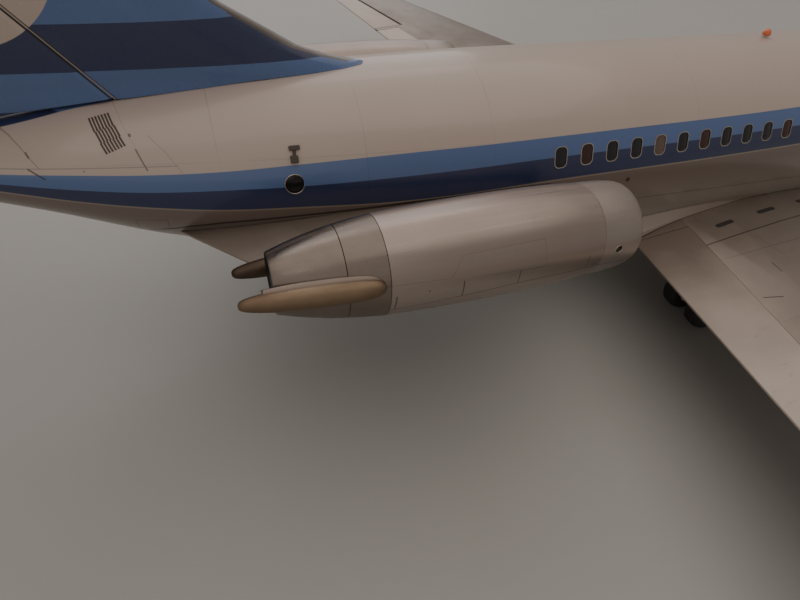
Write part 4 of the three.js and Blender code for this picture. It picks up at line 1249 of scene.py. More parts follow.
class AIRLINER_OT_finishes(bpy.types.Operator):
    """Make the paints, metals, glass and rubber"""
    bl_idname = "airliner.finishes"
    bl_label = "Finishes"

    def execute(self, context):
        paints = context.scene.airliner_colours
        make_paint_age()
        make_seams()
        make_stroke()
        make_metal_brush()
        FINISHES.update(
            livery=livery_finish(),
            bands=band_finish(),
            cream=painted_finish("cream_paint", paints.cream, 0.28, coat=0.3),
            silver=painted_finish(
                "silver_paint", paints.silver, 0.36, 0.55, amount=0.5, grime=(0.08, 0.065, 0.055, 1),
            ),
            wing=wing_finish(),
            flap=flap_finish(),
            fillet=painted_finish("fillet_paint", (0.36, 0.305, 0.265), 0.36, 0.3, amount=0.12, depth=0.02),
            cowl=nacelle_finish(
                "cowl_silver", (0.40, 0.335, 0.30), 0.30, 0.85, 0.15, (0.22, 0.16, 0.13, 1),
            ),
            lip=nacelle_finish(
                "lip_silver", (0.40, 0.35, 0.32), 0.34, 0.75, 0.3, (0.18, 0.14, 0.12, 1),
            ),
            metal=metal_finish("polished_metal", paints.metal, 0.2),
            hot=nacelle_finish(
                "heated_metal", (0.245, 0.208, 0.182), 0.26, 1.0, 0.4, (0.16, 0.12, 0.095, 1),
            ),
            flange=metal_finish("flange_metal", (0.26, 0.21, 0.18), 0.36),
            burnt=metal_finish("burnt_metal", (0.13, 0.095, 0.07), 0.42, (0.03, 0.025, 0.02, 1), 0.8),
            pylon=painted_finish(
                "pylon_paint", (0.30, 0.25, 0.21), 0.38, 0.35, amount=0.5, grime=(0.05, 0.04, 0.035, 1),
            ),
            # Dark brown of the bracket, also used as painted shade in the louvre's openings
            louvre=painted_finish("louvre_shade_and_bracket_brown", (0.085, 0.062, 0.052), 0.5),
            shade=painted_finish("slot_shade", (0.02, 0.016, 0.014), 0.6),
            bronze=metal_finish("bronze_metal", paints.bronze, 0.42, (0.17, 0.11, 0.085, 1), 0.7),
            steel=metal_finish("leg_steel", (0.42, 0.41, 0.40), 0.3),
            dark=painted_finish("dark_core", (0.02, 0.02, 0.022), 0.5, 0.3),
            blades=metal_finish("fan_blades", (0.22, 0.22, 0.23), 0.3),
            glass=painted_finish("dark_glass", (0.012, 0.013, 0.016), 0.08, amount=0.15, depth=0.03),
            # Window glass with a painted warm reflection, and window glass with a painted bright reflection
            warm_glass=painted_finish("warm_glass", (0.045, 0.016, 0.012), 0.1, amount=0.2, depth=0.03),
            bright_glass=painted_finish(
                "bright_glass", (0.16, 0.11, 0.085), 0.12, amount=0.9, grime=(0.02, 0.015, 0.012, 1),
                depth=0.03,
            ),
            rubber=painted_finish(
                "tyre_rubber", (0.022, 0.022, 0.022), 0.72, amount=0.5, grime=(0.1, 0.095, 0.09, 1),
                depth=0.3,
            ),
            lens=painted_finish("red_lens", (0.75, 0.17, 0.06), 0.12, coat=0.5, amount=0.1),
        )
        return {"FINISHED"}


def window_block(name, width, height, reach):
    """A rounded block lying in the skin where the last cabin window is, on the port side."""
    depth_in, depth_out, round_off = [size * MM for size in reach]
    clear_selection()
    half, _, _, middle = body_at(WINDOWS["last"])
    bpy.ops.mesh.primitive_cube_add(size=1)
    piece = bpy.context.active_object
    piece.scale = (width, depth_in + depth_out, height)
    settle(piece, name)
    open_mesh(piece)
    pick_edges(piece, lambda edge: runs_along(edge, Vector((0, 1, 0))))
    bpy.ops.mesh.bevel(offset=round_off, segments=6, affect="EDGES")
    bpy.ops.mesh.select_all(action="SELECT")
    bpy.ops.transform.translate(value=(0, (depth_out - depth_in) / 2, 0))
    close_mesh()
    tilt = math.asin((WINDOWS["z"] - middle) / half)
    piece.rotation_euler = (tilt, 0, 0)
    piece.location = (at(WINDOWS["last"]), half * MM * math.cos(tilt), WINDOWS["z"] * MM)
    return settle(piece, name)


def row_of_windows(piece):
    """Repeats a block forward along the cabin and over to the starboard side."""
    bake_modifier(
        piece, "ARRAY", count=WINDOWS["count"], use_relative_offset=False, use_constant_offset=True,
        constant_offset_displace=(WINDOWS["pitch"] * MM, 0, 0),
    )
    bake_modifier(piece, "MIRROR", use_axis=(False, True, False))
    tidy(piece)
    return piece


class AIRLINER_OT_fuselage(bpy.types.Operator):
    """Make the smooth fuselage skin with its window, port and cockpit openings"""
    bl_idname = "airliner.fuselage"
    bl_label = "Fuselage"

    def execute(self, context):
        nose = body_length("radome_skin", 0, RADOME_STATION - JOINT_GAP, step=1.6)
        soften(nose, 0.12)
        wear(nose, FINISHES["livery"])
        mount(nose, "airframe", "cream_paint", "nose_cone")
        skin = body_length("fuselage_skin", RADOME_STATION, TAIL_CONE_STATION, step=5)
        rim = settings().window_rim
        width, height = settings().window_width + 2 * rim, settings().window_height + 2 * rim
        cut(skin, row_of_windows(window_block("window_openings", width, height, WINDOW_OPENING)))
        for name, hand in SIDES:
            place, outward = on_body(TAIL_PORT["station"], TAIL_PORT["z"], hand)
            round_port(f"tail_port_{name}", skin, TAIL_PORT, place, outward)
        for corners in COCKPIT_PANES:
            pane = slab("pane_opening", corners, *PANE_OPENING_OUT)
            twin = mirror_image(pane, "pane_opening_right")
            for opening in (pane, twin):
                cut(opening, body_length("pane_floor", *COCKPIT_SPAN, grow=PANE_FLOOR, step=2))
            cut(skin, pane)
            cut(skin, twin)
        low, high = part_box("nose_door_left")
        corner = (low.x / MM, -low.y / MM, NOSE_WELL["bottom"])
        cut(skin, block("nose_well", corner, (high.x / MM, low.y / MM, NOSE_WELL["top"])))
        smooth(skin, 24)
        wear(skin, FINISHES["livery"])
        mount(skin, "airframe", "cream_paint", "fuselage")
        tail = body_length("tail_cone_skin", TAIL_CONE_STATION, BODY_END_STATION, step=2)
        smooth(tail, 24)
        wear(tail, FINISHES["livery"])
        mount(tail, "airframe", "cream_paint", "tail_cone")
        return {"FINISHED"}


class AIRLINER_OT_tail_fittings(bpy.types.Operator):
    """Make the louvre, the small bracket and the fillets at the wing root"""
    bl_idname = "airliner.tail_fittings"
    bl_label = "Louvre, bracket and fillets"

    def execute(self, context):
        self.louvre()
        self.bracket()
        for name, hand in SIDES:
            self.fillet(name, hand)
        return {"FINISHED"}

    def louvre(self):
        """Rows of dark bars, painted shade of the louvre's openings, that stand a little proud of the
        starboard skin.
        """
        upper_rear, upper_front, lower_front, lower_rear = LOUVRE_CORNERS
        slats = []
        for row in range(LOUVRE_ROWS):
            high, low = row / LOUVRE_ROWS, (row + 1) / LOUVRE_ROWS
            for slat in range(LOUVRE_SLATS):
                share = (slat + 0.5 + (LOUVRE_STAGGER if row % 2 else -LOUVRE_STAGGER)) / LOUVRE_SLATS
                ends = []
                for down in (high, low):
                    rear = [a + (b - a) * down for a, b in zip(upper_rear, lower_rear)]
                    front = [a + (b - a) * down for a, b in zip(upper_front, lower_front)]
                    station, z = [a + (b - a) * share for a, b in zip(rear, front)]
                    ends.append(on_body(station, z, -1))
                (start, outward), (end, _) = ends
                slats.append(bar(f"slat_{row}_{slat}", start, end, outward, *SLAT_SECTION))
        grille = joined(slats, "tail_louvre")
        wear(grille, FINISHES["louvre"])
        mount(grille, "airframe", "dark_core")

    def bracket(self):
        """A small dark bracket above the round port: a bar with a block below it."""
        bars = []
        ends = []
        for name, (station, z, half_length, *section) in BRACKET_BARS.items():
            place, outward = on_body(station, z, -1)
            along = Vector((half_length, 0, 0))
            bars.append(bar(name, place + along, place - along, outward, *section))
            ends.append((place, outward))
        (upper, upper_out), (lower, _) = ends
        bars.append(bar("bracket_stem", upper, lower, upper_out, *BRACKET_STEM_SECTION))
        whole = joined(bars, "tail_bracket")
        wear(whole, FINISHES["louvre"])
        mount(whole, "airframe", "dark_core")

    def fillet(self, name, hand):
        """A hollowed fillet from the body down to the wing, wider towards the trailing edge."""
        rings = []
        for station, edge, lift in FILLET_ROWS:
            floor = wing_top(station, edge) + FILLET_RISE
            body_place, _ = on_body(station, floor + lift, 1)
            corner = Vector((0, on_body(station, floor, 1)[0].y, floor))
            foot = Vector((0, edge, floor))
            head = Vector((0, body_place.y + FILLET_OUT, body_place.z))
            section = [head + Vector((0, -FILLET_BODY_DEPTH, 0))]
            for step in range(FILLET_STEPS + 1):
                t = step / FILLET_STEPS
                section.append(head * (1 - t) ** 2 + corner * 2 * t * (1 - t) + foot * t ** 2)
            section.append(foot - Vector((0, 0, FILLET_WING_DEPTH)))
            rings.append([(NOSE_X - station, hand * place.y, place.z) for place in section])
        piece = lofted(f"root_fillet_{name}", rings)
        smooth(piece, 40)
        wear(piece, FINISHES["fillet"])
        mount(piece, "airframe", "silver_paint")


class AIRLINER_OT_cabin_glass(bpy.types.Operator):
    """Make the cabin windows and the cockpit panes"""
    bl_idname = "airliner.cabin_glass"
    bl_label = "Cabin and cockpit glass"

    def execute(self, context):
        width, height, rim = settings().window_width, settings().window_height, settings().window_rim
        panes = row_of_windows(window_block("cabin_windows", width, height, WINDOW_GLASS))
        soften(panes, 0.08)
        wear(panes, FINISHES["glass"], FINISHES["warm_glass"], FINISHES["bright_glass"])

        def is_starboard_one(face, chosen):
            number = round((face.center.x - at(WINDOWS["last"])) / (WINDOWS["pitch"] * MM))
            return face.center.y < 0 and number in chosen

        # Painted reflections on a few starboard windows
        paint_faces(panes, 1, lambda face: is_starboard_one(face, WARM_REFLECTION_WINDOWS))
        paint_faces(panes, 2, lambda face: is_starboard_one(face, BRIGHT_REFLECTION_WINDOWS))
        mount(panes, "airframe", "dark_glass")
        frame_ring = window_block("window_frames", width + 2 * rim, height + 2 * rim, WINDOW_FRAME)
        cut(frame_ring, window_block("frame_hole", width, height, WINDOW_FRAME_HOLE))
        row_of_windows(frame_ring)
        smooth(frame_ring, 30)
        wear(frame_ring, FINISHES["metal"])
        mount(frame_ring, "airframe", "polished_metal")
        glass = []
        for corners in COCKPIT_PANES:
            pane = slab("cockpit_pane", corners, *PANE_GLASS_OUT)
            cut(pane, body_length("pane_outside", *COCKPIT_SPAN, grow=PANE_OUTSIDE, step=2), "INTERSECT")
            cut(pane, body_length("pane_inside", *COCKPIT_LONG_SPAN, grow=PANE_INSIDE, step=2))
            glass += [pane, mirror_image(pane, "cockpit_pane_right")]
        screen = joined(glass, "cockpit_glass")
        tidy(screen)
        smooth(screen, 24)
        wear(screen, FINISHES["glass"])
        mount(screen, "airframe", "dark_glass", "windscreen")
        return {"FINISHED"}


class AIRLINER_OT_wings(bpy.types.Operator):
    """Dress the wings, flaps, ailerons and the wing fairing"""
    bl_idname = "airliner.wings"
    bl_label = "Wings"

    def execute(self, context):
        for side, hand in SIDES:
            for part, finish, body in (
                ("wing", "wing", "airframe"),
                ("flap", "flap", "airframe"),
                ("aileron", "flap", f"aileron_{side}"),
            ):
                piece = dressed_copy(f"{part}_{side}", f"{part}_skin_{side}", 0 if part == "flap" else 0.1)
                if part == "flap":
                    self.close_front(piece)
                wear(piece, FINISHES[finish])
                mount(piece, body, "silver_paint", f"{part}_{side}")
            slots = self.slots(side, hand)
            wear(slots, FINISHES["shade"])
            mount(slots, "airframe", "dark_core")
        dress("wing_fairing", "wing_fairing_skin", 0.15, "silver", "airframe", "silver_paint")
        return {"FINISHED"}

    def close_front(self, flap):
        """Brings the flap's front up to the wing, because the model has one smooth skin there."""
        open_mesh(flap)
        pick(flap, lambda vertex: any(face.normal.x > FRONT_FACE for face in vertex.link_faces))
        bpy.ops.transform.translate(value=(FLAP_ADVANCE * MM, 0, 0))
        close_mesh()
        soften(flap, 0.03, angle=38)

    def slots(self, side, hand):
        """The dark plates let into the wing's upper skin near its root."""
        plates = []
        for number, (rear, front) in enumerate(WING_SLOTS):
            ends = [
                Vector((NOSE_X - station, hand * out, wing_top(station, out)))
                for station, out in (rear, front)
            ]
            up = (0, -hand * WING_ROOT["dihedral"], 1)
            plates.append(bar(f"slot_{number}", *ends, up, *SLOT_SECTION, ends=SLOT_END_ROUND))
        return joined(plates, f"wing_slots_{side}")


class AIRLINER_OT_tail(bpy.types.Operator):
    """Dress the fin, rudder, tailplane, elevators and their bullet fairing"""
    bl_idname = "airliner.tail"
    bl_label = "Tail"

    def execute(self, context):
        for node, finish, body, slot in (
            ("fin", "bands", "airframe", "navy_paint"),
            ("rudder", "bands", "rudder", "navy_paint"),
            ("fin_bullet", "cream", "airframe", "cream_paint"),
            ("tailplane_left", "silver", "airframe", "silver_paint"),
            ("tailplane_right", "silver", "airframe", "silver_paint"),
            ("elevator_left", "silver", "elevator_left", "silver_paint"),
            ("elevator_right", "silver", "elevator_right", "silver_paint"),
        ):
            piece = dressed_copy(node, f"{node}_skin", 0 if node in ("fin", "rudder") else 0.1)
            if node == "fin":
                self.walls(piece)
                soften(piece, 0.06, angle=38)
            if node == "rudder":
                self.lower_foot(piece)
                soften(piece, 0.1, angle=38)
            wear(piece, FINISHES[finish])
            mount(piece, body, slot, node)
        return {"FINISHED"}

    def lower_foot(self, rudder):
        """Draws the rudder's foot a little way down along its hinge line."""
        open_mesh(rudder)
        pick(rudder, lambda vertex: any(face.normal.z < FOOT_FACE for face in vertex.link_faces))
        down = Vector((HINGE_SLOPE, 0, -1)).normalized() * RUDDER_DROP * MM
        bpy.ops.transform.translate(value=down)
        close_mesh()

    def walls(self, fin):
        """Carries the fin's sides back beside the rudder's round front, with a hollow between them."""
        aft = Vector((-1, 0, -HINGE_SLOPE)).normalized()
        hinge = Vector((at(HINGE_AT_BASE), 0, FIN_BASE_Z * MM))

        def to_hinge(place):
            return -aft.dot(place - hinge) / MM

        def is_rear(face):
            ahead = to_hinge(face.calc_center_median())
            is_flat = face.normal.dot(aft) > REAR_FACE
            return is_flat and FIN_REAR[0] < ahead < FIN_REAR[1] and face.calc_area() > FIN_REAR_AREA

        open_mesh(fin)
        bpy.ops.mesh.select_mode(type="FACE")
        shape = bmesh.from_edit_mesh(fin.data)
        for face in shape.faces:
            face.select = is_rear(face)
        rear = [face for face in shape.faces if face.select]
        if not rear:
            raise RuntimeError("the fin has no rear face to hollow")
        depth = sum(to_hinge(face.calc_center_median()) for face in rear) / len(rear) - FIN_WALL_REACH
        shape.select_flush_mode()
        bmesh.update_edit_mesh(fin.data)
        bpy.ops.mesh.inset(thickness=FIN_WALL * MM, use_boundary=True)
        bpy.ops.mesh.extrude_region_move(TRANSFORM_OT_translate={"value": (0, 0, 0)})
        slide = depth * MM * math.hypot(1, HINGE_SLOPE)
        for hand in (1, -1):
            shape = bmesh.from_edit_mesh(fin.data)
            floor = {vertex.index for vertex in shape.verts if vertex.select}
            rim = {
                vertex.index for vertex in shape.verts
                if not vertex.select
                and abs(to_hinge(vertex.co) - depth - FIN_WALL_REACH) < FIN_RIM_NEAR
                and vertex.co.z < (RUDDER_TOP_Z + FIN_RIM_ABOVE) * MM
                and hand * vertex.co.y > MERGE_NEAR
            }
            pick(fin, lambda vertex: vertex.index in rim)
            bpy.ops.transform.translate(value=(-slide, -hand * FIN_TAPER * slide, 0))
            pick(fin, lambda vertex: vertex.index in floor)
        close_mesh()


# Outlines of the nacelle's round pieces in millimetres: station and radius
LIP_PROFILE = [
    (382, 10.16), (380.8, 10.36), (380.2, 10.62), (380, 10.95), (380.15, 11.25), (380.6, 11.55),
    (381.4, 11.84), (382.6, 12.08), (384.4, 12.32), (386.8, 12.5), (389.6, 12.62), (392.9, 12.7),
    (392.95, 12.65), (392.95, 10.5), (388, 10.25), (385, 10.12),
]
COWL_PROFILE = [
    (393.03, 12.66), (393.08, 12.72), (397, 12.98), (402, 13.24), (408, 13.4), (418, 13.46),
    (428, 13.4), (436, 13.2), (444, 12.9), (450.9, 12.54), (450.95, 12.48), (450.95, 10.6),
    (393.03, 10.6),
]
RING_PROFILE = [
    (451.03, 12.46), (451.08, 12.52), (456, 11.94), (460.28, 11.34), (460.33, 11.28), (460.33, 10.2),
    (451.03, 10.2),
]
BUCKET_PROFILE = [
    (460.42, 11.24), (460.48, 11.3), (464, 10.66), (468, 9.76), (472, 8.7), (475.9, 7.48),
    (476.2, 7.34), (476.3, 7.16), (476.2, 7.0), (475.8, 6.92), (470, 7.3), (460.42, 7.6),
]
NOZZLE_PROFILE = [
    (453, 6.4), (475.4, 6.4), (475.65, 6.34), (475.7, 6.2), (475.65, 6.0), (475.4, 5.9), (453, 5.9),
]
CORE_PROFILE = [
    (413, 0), (413, 10.3), (448, 10.1), (452.3, 6.95), (452.6, 6.4), (452.6, 3.5),
    (458, 2.2), (462, 1.0), (463, 0),
]
SPINNER_PROFILE = [
    (406, 0), (406.3, 0.9), (407.4, 1.9), (409, 2.7), (411.5, 3.2), (413, 3.3), (413, 0),
]
# Middle line of the side fairings: its distance from the nacelle's axis at a station, and its taper
STANG = {"front": 452, "out": 10.9, "taper": 0.12}
# The flange is the fairing cut off at a station, then made flatter and wider by these shares
FLANGE = {"end": 479, "flatten": 0.4, "widen": 0.3}
# Fan blades in millimetres and degrees, twisted beyond a radius and set at a pitch
FAN = {
    "rear": 412.6, "front": 409.8, "half_width": 0.45, "root": 3.0, "tip": 10.2, "round_off": 0.1,
    "middle": 411.2, "twist_from": 6, "twist": 34, "pitch": 28, "blades": 30,
}


class AIRLINER_OT_nacelles(bpy.types.Operator):
    """Make the round engine nacelles with their reversers and side fairings"""
    bl_idname = "airliner.nacelles"
    bl_label = "Nacelles"

    def execute(self, context):
        for side, hand in SIDES:
            centre = (hand * NACELLE_OUT, NACELLE_Z)
            for name, profile, finish, slot, node in (
                ("intake_lip_skin", LIP_PROFILE, "lip", "polished_metal", "intake_lip"),
                ("cowl_skin", COWL_PROFILE, "cowl", "silver_paint", "cowl"),
                ("tail_ring_skin", RING_PROFILE, "hot", "polished_metal", "tail_ring"),
                ("nozzle_skin", NOZZLE_PROFILE, "metal", "polished_metal", "nozzle"),
            ):
                piece = spun(f"{name}_{side}", profile, centre)
                if node == "intake_lip":
                    reach, lift = LIP_PORT["reach"], LIP_PORT["lift"]
                    outward = Vector((0, hand * math.cos(lift), math.sin(lift)))
                    place = Vector((NOSE_X - LIP_PORT["station"], centre[0], centre[1])) + outward * reach
                    round_port(f"lip_port_{side}", piece, LIP_PORT, place, outward)
                smooth(piece, 30)
                wear(piece, FINISHES[finish], FINISHES["dark"])
                # Painted shade on the nozzle's inner faces
                if node == "nozzle":
                    self.darken_inside(piece, centre)
                mount(piece, "airframe", slot, f"{node}_{side}")
            for name, turn in (("bucket_top", 0), ("bucket_bottom", HALF_TURN)):
                start = hand * BUCKET_CANT + turn + BUCKET_GAP
                sweep = HALF_TURN - 2 * BUCKET_GAP
                piece = spun(f"{name}_skin_{side}", BUCKET_PROFILE, centre, ROUND_SIDES, start, sweep)
                smooth(piece, 30)
                wear(piece, FINISHES["hot"], FINISHES["dark"])
                # Painted shade on the buckets' inner faces
                self.darken_inside(piece, centre)
                mount(piece, "airframe", "polished_metal", f"{name}_{side}")
            for name in ("stang_outer", "stang_inner"):
                piece = dressed_copy(f"{name}_{side}", f"{name}_skin_{side}", 0)
                bake_modifier(piece, "SUBSURF", levels=2, render_levels=2)
                smooth(piece, 60)
                outer = name == "stang_outer"
                wear(piece, FINISHES["bronze" if outer else "burnt"])
                mount(piece, "airframe", "bronze_metal", f"{name}_{side}")
                if outer:
                    self.flange(piece, f"{name}_flange_{side}", hand, centre)
            dress(f"pylon_{side}", f"pylon_skin_{side}", 0.1, "pylon", "airframe", "silver_paint")
        return {"FINISHED"}

    def darken_inside(self, piece, centre):
        """Gives the faces that look at the nacelle's axis the dark finish, as painted shade inside the
        pipe.
        """
        axis = Vector((0, centre[0] * MM, centre[1] * MM))

        def looks_in(face):
            outward = face.center - axis
            outward.x = 0
            return face.normal.dot(outward.normalized()) < INNER_FACE

        paint_faces(piece, 1, looks_in)

    def flange(self, fairing, name, hand, centre):
        """A low pale flange round the foot of a side fairing, wider than it and lower."""
        choose(fairing)
        bpy.ops.object.duplicate()
        piece = bpy.context.active_object
        piece.name = name
        piece.data.name = name
        open_mesh(piece)
        bpy.ops.mesh.select_all(action="SELECT")
        end = (at(FLANGE["end"]), 0, 0)
        bpy.ops.mesh.bisect(plane_co=end, plane_no=(-1, 0, 0), clear_outer=True, use_fill=True)
        close_mesh()
        side_way = Vector((0, hand, 0))
        side_way.rotate(Matrix.Rotation(hand * BUCKET_CANT, 3, "X"))
        up_way = Vector((0, -side_way.z, side_way.y))
        for vertex in piece.data.vertices:
            station = NOSE_X - vertex.co.x / MM
            out = STANG["out"] - STANG["taper"] * (station - STANG["front"])
            middle = Vector((vertex.co.x, centre[0] * MM, centre[1] * MM)) + side_way * out * MM
            away = vertex.co - middle
            reach, rise = away.dot(side_way), away.dot(up_way)
            vertex.co += side_way * reach * -FLANGE["flatten"] + up_way * rise * FLANGE["widen"]
        wear(piece, FINISHES["flange"])
        mount(piece, "airframe", "bronze_metal")


class AIRLINER_OT_engines(bpy.types.Operator):
    """Make the fans, spinners and tail pipes inside the nacelles"""
    bl_idname = "airliner.engines"
    bl_label = "Engines"

    def execute(self, context):
        for side, hand in SIDES:
            centre = (hand * NACELLE_OUT, NACELLE_Z)
            core = spun(f"engine_core_{side}", CORE_PROFILE, centre)
            smooth(core, 40)
            wear(core, FINISHES["dark"])
            spinner = spun(f"spinner_{side}", SPINNER_PROFILE, centre, ROUND_SIDES)
            smooth(spinner, 60)
            wear(spinner, FINISHES["blades"])
            engine = joined([core, spinner, self.fan(centre)], f"engine_detail_{side}")
            mount(engine, "airframe", "dark_core", f"engine_{side}")
        return {"FINISHED"}

    def fan(self, centre):
        """One twisted blade, repeated round the nacelle's axis."""
        low = (at(FAN["rear"]) / MM, -FAN["half_width"], FAN["root"])
        high = (at(FAN["front"]) / MM, FAN["half_width"], FAN["tip"])
        blades = block("blade", low, high, FAN["round_off"])
        middle = (at(FAN["middle"]), 0, 0)
        open_mesh(blades)
        bpy.ops.mesh.select_all(action="SELECT")
        bpy.ops.mesh.subdivide(number_cuts=2)
        pick(blades, lambda vertex: vertex.co.z > FAN["twist_from"] * MM)
        bpy.ops.transform.rotate(value=math.radians(FAN["twist"]), orient_axis="Z", center_override=middle)
        bpy.ops.mesh.select_all(action="SELECT")
        bpy.ops.transform.rotate(value=math.radians(FAN["pitch"]), orient_axis="Z", center_override=middle)
        bpy.ops.mesh.spin(
            steps=FAN["blades"], angle=2 * HALF_TURN, center=(0, 0, 0), axis=(1, 0, 0), dupli=True,
        )
        bpy.ops.mesh.select_all(action="SELECT")
        bpy.ops.transform.translate(value=(0, centre[0] * MM, centre[1] * MM))
        close_mesh()
        tidy(blades)
        smooth(blades)
        wear(blades, FINISHES["blades"])
        return blades


class AIRLINER_OT_undercarriage(bpy.types.Operator):
    """Dress the legs, braces and doors, and make the wheels"""
    bl_idname = "airliner.undercarriage"
    bl_label = "Undercarriage"

    def execute(self, context):
        for side, hand in SIDES:
            for node, finish, slot in (
                ("main_leg", "steel", "steel"),
                ("main_brace", "steel", "steel"),
                ("main_door", "silver", "silver_paint"),
                ("nose_door", "silver", "silver_paint"),
            ):
                dress(f"{node}_{side}", f"{node}_skin_{side}", 0.12, finish, "airframe", slot)
            pair, size = f"main_wheels_{side}", WHEEL_SIZES["main"]
            for place, reach in (("outer", hand), ("inner", -hand)):
                self.wheel(f"main_wheel_{side}_{place}", size, hand, reach, pair)
            self.wheel(f"nose_wheel_{side}", WHEEL_SIZES["nose"], 0, hand, "nose_wheels")
        for node, body in (("nose_leg_housing", "airframe"), ("nose_leg_fork", "steered_leg")):
            dress(node, f"{node}_skin", 0.1, "steel", body, "steel")
        return {"FINISHED"}

    def wheel(self, node, size, hand, reach, body):
        """A tyre with grooves on a dished hub, spun about its axle."""
        r, half, bore, hub = size["radius"], size["width"] / 2, size["bore"] + 0.1, size["hub"]
        profile = [
            (bore, -half * 0.55), (hub * 0.45, -half * 0.55), (hub * 0.6, -half * 0.35),
            (hub * 0.9, -half * 0.38), (hub, -half * 0.72), (hub * 1.08, -half * 0.86),
            (r * 0.76, -half), (r * 0.9, -half * 0.94), (r * 0.97, -half * 0.72), (r, -half * 0.42),
            (r, -half * 0.2), (r * 0.985, -half * 0.17), (r * 0.985, -half * 0.13), (r, -half * 0.1),
        ]
        profile += [(radius, -across) for radius, across in reversed(profile)]
        clear_selection()
        bpy.ops.mesh.primitive_circle_add(vertices=len(profile), radius=1)
        piece = settle(bpy.context.active_object, f"{node}_tyre")
        out = hand * size["out"] + reach * size["spacing"] / 2
        centre = Vector((at(size["station"]), out * MM, size["radius"] * MM))
        open_mesh(piece)
        for number, (radius, across) in enumerate(profile):
            pick(piece, lambda vertex: vertex.index == number)
            place = centre + Vector((0, across * MM, radius * MM))
            bpy.ops.transform.translate(value=place - piece.data.vertices[number].co)
        bpy.ops.mesh.select_all(action="SELECT")
        bpy.ops.mesh.spin(steps=72, angle=2 * HALF_TURN, center=centre, axis=(0, 1, 0))
        close_mesh()
        tidy(piece)
        smooth(piece, 40)
        wear(piece, FINISHES["rubber"], FINISHES["silver"])
        paint_faces(piece, 1, lambda face: (face.center - centre).xz.length < hub * 1.04 * MM)
        mount(piece, body, "tyre", node)


class AIRLINER_OT_lamps(bpy.types.Operator):
    """Dress the beacons and blade aerials"""
    bl_idname = "airliner.lamps"
    bl_label = "Lamps and aerials"

    def execute(self, context):
        for node, finish, slot in (
            ("beacon_top", "lens", "red_lens"), ("beacon_bottom", "lens", "red_lens"),
            ("aerial_top", "cream", "cream_paint"), ("aerial_bottom", "cream", "cream_paint"),
        ):
            piece = dressed_copy(node, f"{node}_detail", 0.1 if "aerial" in node else 0)
            if "beacon" in node:
                bake_modifier(piece, "SUBSURF", levels=2, render_levels=2)
                smooth(piece, 60)
            wear(piece, FINISHES[finish])
            mount(piece, "airframe", slot, node)
        return {"FINISHED"}


# Soft lights: name, place and size in metres, power in watts and colour
LIGHTS = (
    ("key_light", (0.0, 0.15, 1.8), 2.8, 15.5, (1.0, 0.91, 0.83)),
    ("fill_light", (-0.9, -1.7, 0.9), 2.4, 5, (1.0, 0.90, 0.82)),
    ("rim_light", (0.0, 1.6, 1.1), 1.8, 8, (0.97, 0.96, 1.0)),
)
LIGHTS_AIM = (0, 0, 0.05)
SKY_COLOUR = (0.88, 0.80, 0.74, 1)
SKY_STRENGTH = 0.33
FLOOR_SIZE = 12
# The photo's camera: focal length and picture width in pixels, then its place in metres and its turn
FOCAL_PIXELS = 519.9
PICTURE_WIDTH = 800
SENSOR_WIDTH = 36
NEAR_CLIP = 0.01
CAMERA_PLACE = (-0.1656, -0.15084, 0.14472)
CAMERA_TURN = {"yaw": 0.409, "pitch": -0.755, "roll": 0.091}


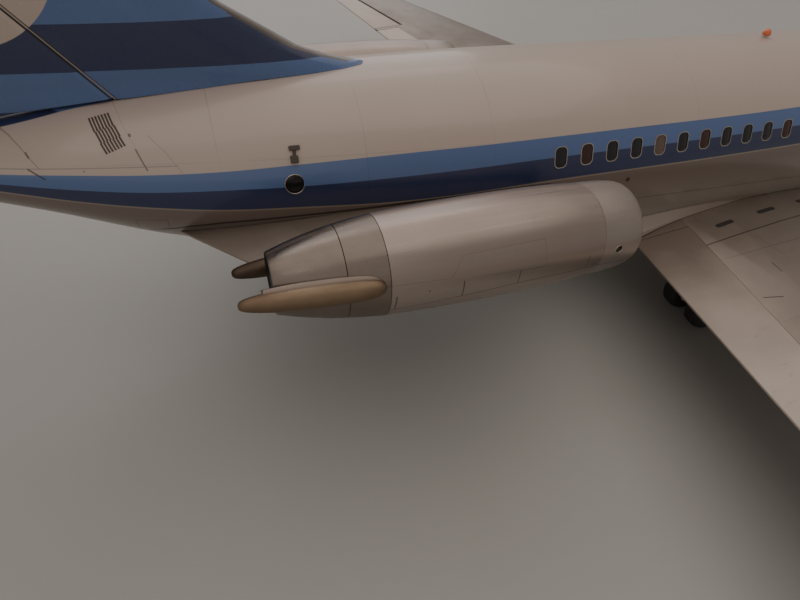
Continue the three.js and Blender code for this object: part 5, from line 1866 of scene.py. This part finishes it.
class AIRLINER_OT_stage(bpy.types.Operator):
    """Make the floor, the soft lights and the camera"""
    bl_idname = "airliner.stage"
    bl_label = "Stage"

    def execute(self, context):
        self.floor(context)
        self.lights(context)
        self.camera(context)
        return {"FINISHED"}

    def floor(self, context):
        clear_selection()
        bpy.ops.mesh.primitive_plane_add(size=FLOOR_SIZE, location=(0, 0, 0))
        floor = settle(bpy.context.active_object, "stage_floor")
        tone = context.scene.airliner_colours.floor
        wear(floor, painted_finish("floor_finish", tone, 0.5, amount=0.06, depth=0.02))

    def lights(self, context):
        for name, place, size, power, tone in LIGHTS:
            lamp = bpy.data.lights.new(name, "AREA")
            lamp.size = size
            lamp.energy = power
            lamp.color = tone
            holder = bpy.data.objects.new(name, lamp)
            context.scene.collection.objects.link(holder)
            holder.location = place
            aim = Vector(LIGHTS_AIM) - holder.location
            holder.rotation_euler = aim.to_track_quat("-Z", "Y").to_euler()
        world = bpy.data.worlds.new("studio")
        world.use_nodes = True
        sky = world.node_tree.nodes["Background"]
        sky.inputs["Color"].default_value = SKY_COLOUR
        sky.inputs["Strength"].default_value = SKY_STRENGTH
        context.scene.world = world

    def camera(self, context):
        lens = bpy.data.cameras.new("photo_camera")
        lens.sensor_width = SENSOR_WIDTH
        lens.lens = FOCAL_PIXELS * SENSOR_WIDTH / PICTURE_WIDTH
        lens.clip_start = NEAR_CLIP
        camera = bpy.data.objects.new("photo_camera", lens)
        context.scene.collection.objects.link(camera)
        yaw, pitch, roll = CAMERA_TURN["yaw"], CAMERA_TURN["pitch"], CAMERA_TURN["roll"]
        x, y, z = CAMERA_PLACE
        ahead = Vector((math.sin(yaw) * math.cos(pitch), math.cos(yaw) * math.cos(pitch), math.sin(pitch)))
        right = Vector((math.cos(yaw), -math.sin(yaw), 0))
        up = right.cross(ahead)
        across = right * math.cos(roll) + up * math.sin(roll)
        upward = up * math.cos(roll) - right * math.sin(roll)
        camera.matrix_world = Matrix((
            (across.x, upward.x, -ahead.x, x),
            (across.y, upward.y, -ahead.y, y),
            (across.z, upward.z, -ahead.z, z),
            (0, 0, 0, 1),
        ))
        context.scene.camera = camera


STEPS = (
    AIRLINER_OT_finishes, AIRLINER_OT_stage, AIRLINER_OT_fuselage, AIRLINER_OT_cabin_glass,
    AIRLINER_OT_wings, AIRLINER_OT_tail, AIRLINER_OT_tail_fittings, AIRLINER_OT_nacelles,
    AIRLINER_OT_engines, AIRLINER_OT_undercarriage, AIRLINER_OT_lamps,
)


class AIRLINER_PT_panel(bpy.types.Panel):
    """Shows the airliner's sizes and colours, and a button for each step"""
    bl_label = "Airliner"
    bl_idname = "AIRLINER_PT_panel"
    bl_space_type = "VIEW_3D"
    bl_region_type = "UI"
    bl_category = "Airliner"

    def draw(self, context):
        for group in (context.scene.airliner_sizes, context.scene.airliner_colours):
            for key in group.__annotations__:
                self.layout.prop(group, key)
        for step in STEPS:
            self.layout.operator(step.bl_idname)


CLASSES = (AirlinerColours, AirlinerSizes, *STEPS, AIRLINER_PT_panel)


def register():
    for each in CLASSES:
        bpy.utils.register_class(each)
    bpy.types.Scene.airliner_colours = bpy.props.PointerProperty(type=AirlinerColours)
    bpy.types.Scene.airliner_sizes = bpy.props.PointerProperty(type=AirlinerSizes)


def unregister():
    del bpy.types.Scene.airliner_sizes
    del bpy.types.Scene.airliner_colours
    for each in reversed(CLASSES):
        bpy.utils.unregister_class(each)


def main():
    register()
    for step in STEPS:
        group, name = step.bl_idname.split(".")
        getattr(getattr(bpy.ops, group), name)()


if __name__ == "__main__":
    main()
